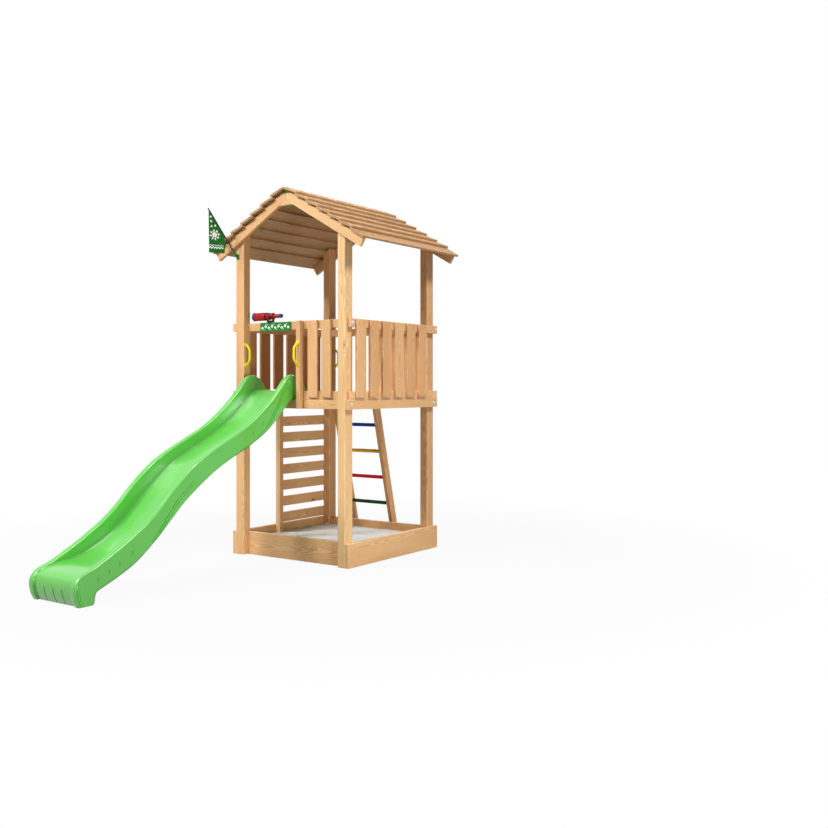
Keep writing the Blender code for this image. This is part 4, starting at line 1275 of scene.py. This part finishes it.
def makeTelescope():
    pin = Vector(scope["pin"])
    stand = Matrix.Translation((pin.x, pin.y, scope["foot"]))
    addPiece("scope_foot", scopePart("base", stand), "blackPlastic", ["telescope_base"])
    addPiece("scope_foot_bolt", scopePart("bolt", stand, 28), "zincSteel")

    # turning fork: a ring plate and two cheeks with rounded heads
    lift = scope["baseThick"] + gap
    floor = stand @ Matrix.Translation((0, 0, lift))
    fork = [scopePart("plate", floor)]
    height, half = pin.z - scope["foot"] - lift, scope["cheekHalf"]
    outline = [(-half, 0.002), (half, 0.002)]
    for a in [math.pi * i / 14 for i in range(15)]:
        outline.append((half * math.cos(a), height + half * math.sin(a)))
    for sign in (-1, 1):
        cheek = plainPrism(outline, *signedSpan(sign, *scope["cheek"]), 1, 0.0008)
        cheek.transform(floor)
        fork.append(cheek)
    addPiece("scope_fork", joined(fork, "scope_fork"), "scopeDarkRed", ["telescope_yoke"], "telescope_yoke")

    # barrel: front part, middle part and thin part, all hollow
    body = "telescope_barrel"
    laid = Matrix.Translation(pin) @ Matrix.Rotation(-math.pi / 2, 4, "Y")
    addPiece("scope_front_tube", scopePart("front", laid), "scopeRed", ["telescope_barrel"], body)
    addPiece("scope_middle_tube", scopePart("middle", laid), "scopeDarkRed", body=body)
    addPiece("scope_thin_tube", scopePart("thin", laid), "scopeRed", body=body)
    # the dark collar where the fork holds it, and the pins in the cheeks
    held = [scopePart("collar", laid)]
    for sign in (-1, 1):
        turn = Matrix.Rotation(-sign * math.pi / 2, 4, "X")
        held.append(scopePart("knob", Matrix.Translation(pin) @ turn, 24))
    addPiece("scope_collar", joined(held, "scope_collar"), "scopeDarkRed", body=body)
    # front ring with its lens, and the ball eyepiece
    addPiece("scope_front_rim", scopePart("rim", laid), "scopeBlue", ["telescope_front_ring"], body)
    addPiece("scope_lens", scopePart("lens", laid), "lensGlass", body=body)
    eyepiece = turned(eyepieceProfile(), scope["sides"], "eyepiece")
    eyepiece.transform(laid)
    addPiece("scope_eyepiece_ball", eyepiece, "scopeBlue", ["telescope_eyepiece"], body)


makeTelescope()
print("telescope made")

# sign, apex plate and flag

signBoard = {
    "cornerRound": 0.008,
    "raise": (0.0008, 0.00005),  # how far the marks' faces and backs stand off the plate
    "marks": 9,
    "margin": 0.025,
    # every other mark, from the first: (height from the middle, half width, half height)
    "diamonds": ((-0.007, 0.0140, 0.0120), (0.004, 0.0120, 0.0150)),
    "dots": (-0.021, 0.018),
    "dotRadius": 0.0042,
}


def makeSign():
    s = signBoard
    low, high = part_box("sign_plate")
    outline = roundedRectangle(low.x, high.x, low.z, high.z, s["cornerRound"])
    board = plainPrism(outline, low.y, high.y, 1, 0.0012)
    addPiece("sign_board", board, "leafGreen", ["sign_plate"]).modifiers.new("flatFaces", "WEIGHTED_NORMAL")
    # a plain row of diamonds and dots
    meshes = []
    front, back = [low.y - stand for stand in s["raise"]]
    middle = (low.z + high.z) / 2
    pitch = (high.x - low.x - 2 * s["margin"]) / (s["marks"] - 1)
    for i in range(s["marks"]):
        up, wide, tall = s["diamonds"][i % 2]
        x, z = low.x + s["margin"] + i * pitch, middle + up
        diamond = [(x - wide, z), (x, z - tall), (x + wide, z), (x, z + tall)]
        meshes.append(plainPrism(diamond, front, back, 1, 0.0004))
        if i < s["marks"] - 1:
            x, z, r = x + pitch / 2, middle + s["dots"][i % 2], s["dotRadius"]
            dot = [(x + r * math.cos(a), z + r * math.sin(a)) for a in [math.pi * k / 8 for k in range(16)]]
            meshes.append(plainPrism(dot, front, back, 1, 0.0003))
    addPiece("sign_pattern", joined(meshes, "sign_pattern"), "signWhite", smooth=False)


def makeApexPlate():
    low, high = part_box("apex_plate")
    outline = [(low.x, low.z), (high.x, low.z), ((low.x + high.x) / 2, high.z)]
    plate = plainPrism(outline, low.y, high.y, 1, 0.0008)
    addPiece("apex_cover", plate, "leafGreen", ["apex_plate"]).modifiers.new("flatFaces", "WEIGHTED_NORMAL")


flag = {
    "foot": (-0.530, -0.592, 2.345),
    "tip": (-0.634, -0.800, 2.710),
    "poleRadius": 0.005,
    "poleStart": 0.006,
    "bracket": (0.013, 0.020, 0.006),  # half width, half height and corner of the holder's plate
    "bracketFace": (-0.5863, -0.5803),
    "socket": ((0.0054, 0.006), (0.0054, 0.050), (0.0095, 0.050), (0.011, 0.012), (0.011, 0.0), (0, 0)),
    "width": 0.130,
    "height": 0.345,
    "fold": (0.006, 0.0022),
    "swing": 0.003,
    "columns": 40,
    "rows": 60,
    "thick": 0.0012,
    # the print, in metres on the cloth: a white sun with a dark rim over bands of zigzag, and four dots
    "sun": (0.047, 0.140),
    "disc": 0.0205,
    "ring": (0.0205, 0.0262),
    "rays": (0.027, 0.042),
    "zigzag": 0.011,
    "bands": ((0.0295, 0.0405), (0.0500, 0.0555)),
    "bandEnd": 0.118,
    "dots": ((0.022, 0.205), (0.052, 0.212), (0.020, 0.245), (0.016, 0.280)),
    "dotRadius": 0.0082,
    "thread": 0.0016,
    "greens": ((0.001, 0.115, 0.004), (0.001, 0.085, 0.003)),
    "dark": (0.004, 0.010, 0.005),
    "white": (0.80, 0.84, 0.78),
}


def within(tree, value, low, high, blur):
    return calc(tree, "MULTIPLY", remap(tree, value, low, low + blur), remap(tree, value, high, high - blur))


def makeFlagCloth():
    material, tree, shader = newFinish("flagCloth", Sheen_Weight=0.25, Specular_IOR_Level=0.2)
    uv = addNode(tree, "UVMap").outputs[0]
    split = addNode(tree, "SeparateXYZ", {0: uv}).outputs
    turns = 2 * math.pi / flag["thread"]
    threads = [calc(tree, "SINE", calc(tree, "MULTIPLY", split[axis], turns)) for axis in "XY"]
    weave = calc(tree, "MULTIPLY", *threads)
    sunX, sunY = flag["sun"]
    far = vectorCalc(tree, "DISTANCE", uv, (sunX, sunY, 0))
    disc = remap(tree, far, flag["disc"], flag["disc"] - 0.0007)
    offX, offY = calc(tree, "SUBTRACT", split["X"], sunX), calc(tree, "SUBTRACT", split["Y"], sunY)
    spoke = calc(tree, "SINE", calc(tree, "MULTIPLY", calc(tree, "ARCTAN2", offY, offX), 8))
    beyond = calc(tree, "SUBTRACT", far, remap(tree, spoke, -0.6, 0.8, *flag["rays"]))
    ringStart, ringEnd = flag["ring"]
    outer = remap(tree, far, ringEnd - 0.0007, ringEnd)
    rays = calc(tree, "MULTIPLY", outer, remap(tree, beyond, 0.0005, -0.0005))
    dark = within(tree, far, ringStart, ringEnd, 0.0007)
    zigzag = calc(tree, "SUBTRACT", split["Y"], calc(tree, "PINGPONG", split["X"], flag["zigzag"]))
    bands = calc(tree, "MAXIMUM", *[within(tree, zigzag, low, high, 0.0005) for low, high in flag["bands"]])
    bands = calc(tree, "MULTIPLY", bands, remap(tree, split["X"], flag["bandEnd"], flag["bandEnd"] - 0.0006))
    printed = calc(tree, "MAXIMUM", disc, calc(tree, "MAXIMUM", rays, bands))
    radius = flag["dotRadius"]
    for x, y in flag["dots"]:
        off = vectorCalc(tree, "DISTANCE", uv, (x, y, 0))
        printed = calc(tree, "MAXIMUM", printed, remap(tree, off, radius, radius - 0.0006))
    cloud = speckle(tree, objectPlace(tree), 30.0, 3.0)
    green = mixColour(tree, remap(tree, cloud, 0.3, 0.8, 0, 0.4), *flag["greens"])
    green = mixColour(tree, dark, green, flag["dark"])
    colour = mixColour(tree, calc(tree, "MULTIPLY", printed, 0.95), green, flag["white"])
    # painted shade: up to a tenth darker towards black along the weave's pattern of threads
    colour = mixColour(tree, remap(tree, weave, -1, 1, 0.0, 0.10), colour, (0, 0, 0))
    dress(tree, shader, colour, remap(tree, weave, -1, 1, 0.75, 0.9), weave, 0.0002)
    return material


def clothPoint(across, down, way, rise):
    # where the hanging cloth is at these shares of its width and height
    tip, r = Vector(flag["tip"]), flag["poleRadius"]
    inward = Vector((-way.x, -way.y, 0)).normalized()
    sideways = inward.cross(Vector((0, 0, 1)))
    along = r + flag["width"] * across
    top = tip.z - along * rise - (r + gap) * math.hypot(1, rise)
    wide, small = flag["fold"]
    fold = wide * down * math.sin(3 * math.pi * across)
    fold += small * down * math.sin(7.3 * across * math.pi + 2.4 * down)
    fold *= min(1, 0.25 + 1.5 * down)
    swing = flag["swing"] * down * math.sin(2.2 * down + 1.3 * across)
    point = Vector((tip.x, tip.y, 0)) + inward * (along + swing) + sideways * fold
    point.z = top + (tip.z - flag["height"] - top) * down
    return point


def clothMesh(way, rise):
    bm = bmesh.new()
    uvLayer = bm.loops.layers.uv.new("UVMap")
    columns, rows, hem = flag["columns"], flag["rows"], flag["tip"][2] - flag["height"]
    grid = []
    for down in [row / rows for row in range(rows + 1)]:
        line = []
        for across in [column / columns for column in range(columns + 1)]:
            point = clothPoint(across, down, way, rise)
            line.append((bm.verts.new(point), (flag["width"] * across, point.z - hem)))
        grid.append(line)
    for upper, lower in zip(grid, grid[1:]):
        for i in range(columns):
            corners = (upper[i], upper[i + 1], lower[i + 1], lower[i])
            face = bm.faces.new([corner for corner, _ in corners])
            for loop, (_, uv) in zip(face.loops, corners):
                loop[uvLayer].uv = uv
    bmesh.ops.recalc_face_normals(bm, faces=bm.faces)
    return meshFrom(bm, "pennant")


def makeFlag():
    foot, tip = Vector(flag["foot"]), Vector(flag["tip"])
    length, r, start = (tip - foot).length, flag["poleRadius"], flag["poleStart"]
    place = Matrix.Translation(foot) @ (tip - foot).to_track_quat("Z", "Y").to_matrix().to_4x4()
    pole = turned(softened([(0, length), (r, length), (r, start), (0, start)], 0.0015), 24, "pole")
    pole.transform(place)
    addPiece("flag_stick", pole, "blackPlastic", ["flag_pole"])

    # holder: a small plate on the post with a sloping socket
    wide, tall, corner = flag["bracket"]
    outline = roundedRectangle(foot.x - wide, foot.x + wide, foot.z - tall, foot.z + tall, corner)
    plate = plainPrism(outline, *flag["bracketFace"], 1, 0.001)
    socket = turned(softened(flag["socket"], 0.001), 28, "socket")
    socket.transform(place)
    addPiece("flag_bracket", joined([plate, socket], "flag_bracket"), "leafGreen", ["flag_holder"])

    way = (tip - foot).normalized()
    rise = way.z / Vector((way.x, way.y)).length
    finish["flagCloth"] = makeFlagCloth()
    cloth = addPiece("pennant", clothMesh(way, rise), "flagCloth", ["flag_pennant"])
    thick = cloth.modifiers.new("cloth", "SOLIDIFY")
    thick.thickness = flag["thick"]
    thick.offset = 0


makeSign()
makeApexPlate()
makeFlag()
print("sign and flag made")

# screws and bolt caps

fixings = {
    "head": 0.0046,
    # (part, height) of the rings of points from the rim into the six-lobed recess
    "screw": (("rim", -0.0006), ("rim", 0.0002), ("top", 0.0005), ("lobe", 0.0005), ("lobe", -0.0014)),
    "cap": (
        (0, 0.0072), (0.0035, 0.0070), (0.0085, 0.0056), (0.0118, 0.0030), (0.0135, 0.0022), (0.0135, 0.0), (0, 0),
    ),
    "low": 1.2555,
    "high": 1.7885,
    "beam": 1.19,
    "stagger": 0.008,
    "sideInset": 0.026,
    "endInset": 0.022,
    "postX": 0.585,  # from the middle to the outer face of a post, boards of the sandbox too
    "postY": 0.58,
    "sandboxY": 0.535,
    "doorways": {"front": 0.095, "back": 0.039},
    # through the posts into the sandbox's side boards: (y, z)
    "sandboxSides": ((-0.545, 0.045), (-0.545, 0.135), (0.545, 0.045), (0.545, 0.135)),
    # end: x of the screws in its sandbox board, in two rows
    "sandboxEnds": {-1: (-0.43, -0.40, -0.17, -0.075, 0.03, 0.14, 0.30, 0.40, 0.43), 1: (-0.43, -0.40, 0.40, 0.43)},
    "sandboxRows": (0.060, 0.125),
    "deckAlong": (0.024, 0.092),  # from the edge of a board
    "slat": ((-0.084, 0.018), (-0.084, -0.018), (0.520, 0.018), (0.552, -0.018)),  # (y, up from its middle)
    "planksY": 0.5945,
    "plankDown": (0.055, 0.100),  # from the upper edge
    # side: (y of the caps at the top rail, at the bottom rail, at the deck's beam)
    "caps": {
        -1: ((-0.545, 0.535), (-0.545, 0.535), (-0.545, 0.535)),
        1: ((-0.535, 0.572), (0.572,), (-0.545, 0.535)),
    },
}


def screwMesh():
    r = fixings["head"]
    bm = bmesh.new()
    rings = []
    for kind, z in fixings["screw"]:
        ring = []
        for i in range(12):
            a = 2 * math.pi * i / 12
            radius = {"rim": r, "top": r * 0.86, "lobe": r * (0.52 if i % 2 else 0.38)}[kind]
            ring.append(bm.verts.new((radius * math.cos(a), radius * math.sin(a), z)))
        rings.append(ring)
    bridge(bm, rings)
    bm.faces.new(rings[-1])
    return meshFrom(bm, "screw")


def facing(point, normal):
    turn = Vector(normal).to_track_quat("Z", "Y").to_matrix().to_4x4()
    return Matrix.Translation(point) @ turn


def boardScrews(start, width, inset):
    # (along, height) of the two screws at both ends of an upright board
    up = fixings["stagger"]
    pair = ((start + inset, -up), (start + width - inset, up))
    return [(along, z + shift) for z in (fixings["low"], fixings["high"]) for along, shift in pair]


def balustradeScrews():
    b, f, spots = balustrade, fixings, []
    for sign, first, _, _ in b["sides"].values():
        x = sign * (b["sideFace"] + gap + b["sideThick"] + b["boardThick"])
        for i in range(b["sideCount"]):
            rows = boardScrews(first + i * b["sidePitch"], b["sideBoard"], f["sideInset"])
            spots += [facing((x, y, z), (sign, 0, 0)) for y, z in rows]
    for end, (sign, _, first, count) in b["ends"].items():
        y = sign * (b["endRail"][1] + gap + b["boardThick"])
        for i in range(count):
            rows = boardScrews(first + i * b["endPitch"], b["endBoard"], f["endInset"])
            spots += [facing((x, y, z), (0, sign, 0)) for x, z in rows]
        x, y = f["doorways"][end], sign * f["postY"]
        spots += [facing((x, y, z), (0, sign, 0)) for z in (f["beam"], f["high"])]
    return spots


def sandboxScrews():
    f, spots = fixings, []
    for sign, row in f["sandboxEnds"].items():
        spots += [facing((sign * f["postX"], y, z), (sign, 0, 0)) for y, z in f["sandboxSides"]]
        spots += [facing((x, sign * f["sandboxY"], z), (0, sign, 0)) for x in row for z in f["sandboxRows"]]
    return spots


def deckScrews():
    places = [(x + along, y) for x, _ in deckSpans() for along in fixings["deckAlong"] for y in (-1, 1)]
    return [facing((x, y * deck["joistAt"], deck["top"]), (0, 0, 1)) for x, y in places]


def climbingScrews():
    c, spots = climbing, []
    for i in range(c["slats"]):
        z = c["top"] - i * c["pitch"] - c["height"] / 2
        for y, up in fixings["slat"]:
            spots.append(facing((c["face"] - c["thick"], y, z + up), (-1, 0, 0)))
    return spots


def roofScrews():
    spots = []
    for side, sign in (("left", -1), ("right", 1)):
        for number in range(1, roof["planks"] + 1):
            points = nodePoints(f"roof_plank_{side}_{number}")
            upper = max(points, key=lambda p: p.z)
            outer = max(points, key=lambda p: sign * p.x + p.z * 0.9)
            slope = Vector((outer.x - upper.x, 0, outer.z - upper.z)).normalized()
            normal = Vector((-slope.z * sign, 0, abs(slope.x)))
            for p in [upper + slope * along for along in fixings["plankDown"]]:
                spots += [facing((p.x, y, p.z), normal) for y in (-fixings["planksY"], fixings["planksY"])]
    return spots


def makeScrews():
    spots = {
        "screws_balustrade": balustradeScrews(),
        "screws_sandbox": sandboxScrews(),
        "screws_deck": deckScrews(),
        "screws_climbing": climbingScrews(),
        "screws_roof": roofScrews(),
    }
    for name, places in spots.items():
        addPiece(name, copies(screwMesh(), places, name), "zincSteel", smooth=False)


def makeCaps():
    f, spots = fixings, []
    for sign, rows in f["caps"].items():
        for z, row in zip((f["high"], f["low"], f["beam"]), rows):
            spots += [facing((sign * f["postX"], y, z), (sign, 0, 0)) for y in row]
    dome = turned(softened(f["cap"], 0.0008), 28, "cap")
    addPiece("bolt_caps", copies(dome, spots, "bolt_caps"), "capPale")


makeScrews()
makeCaps()
print("screws and caps made")
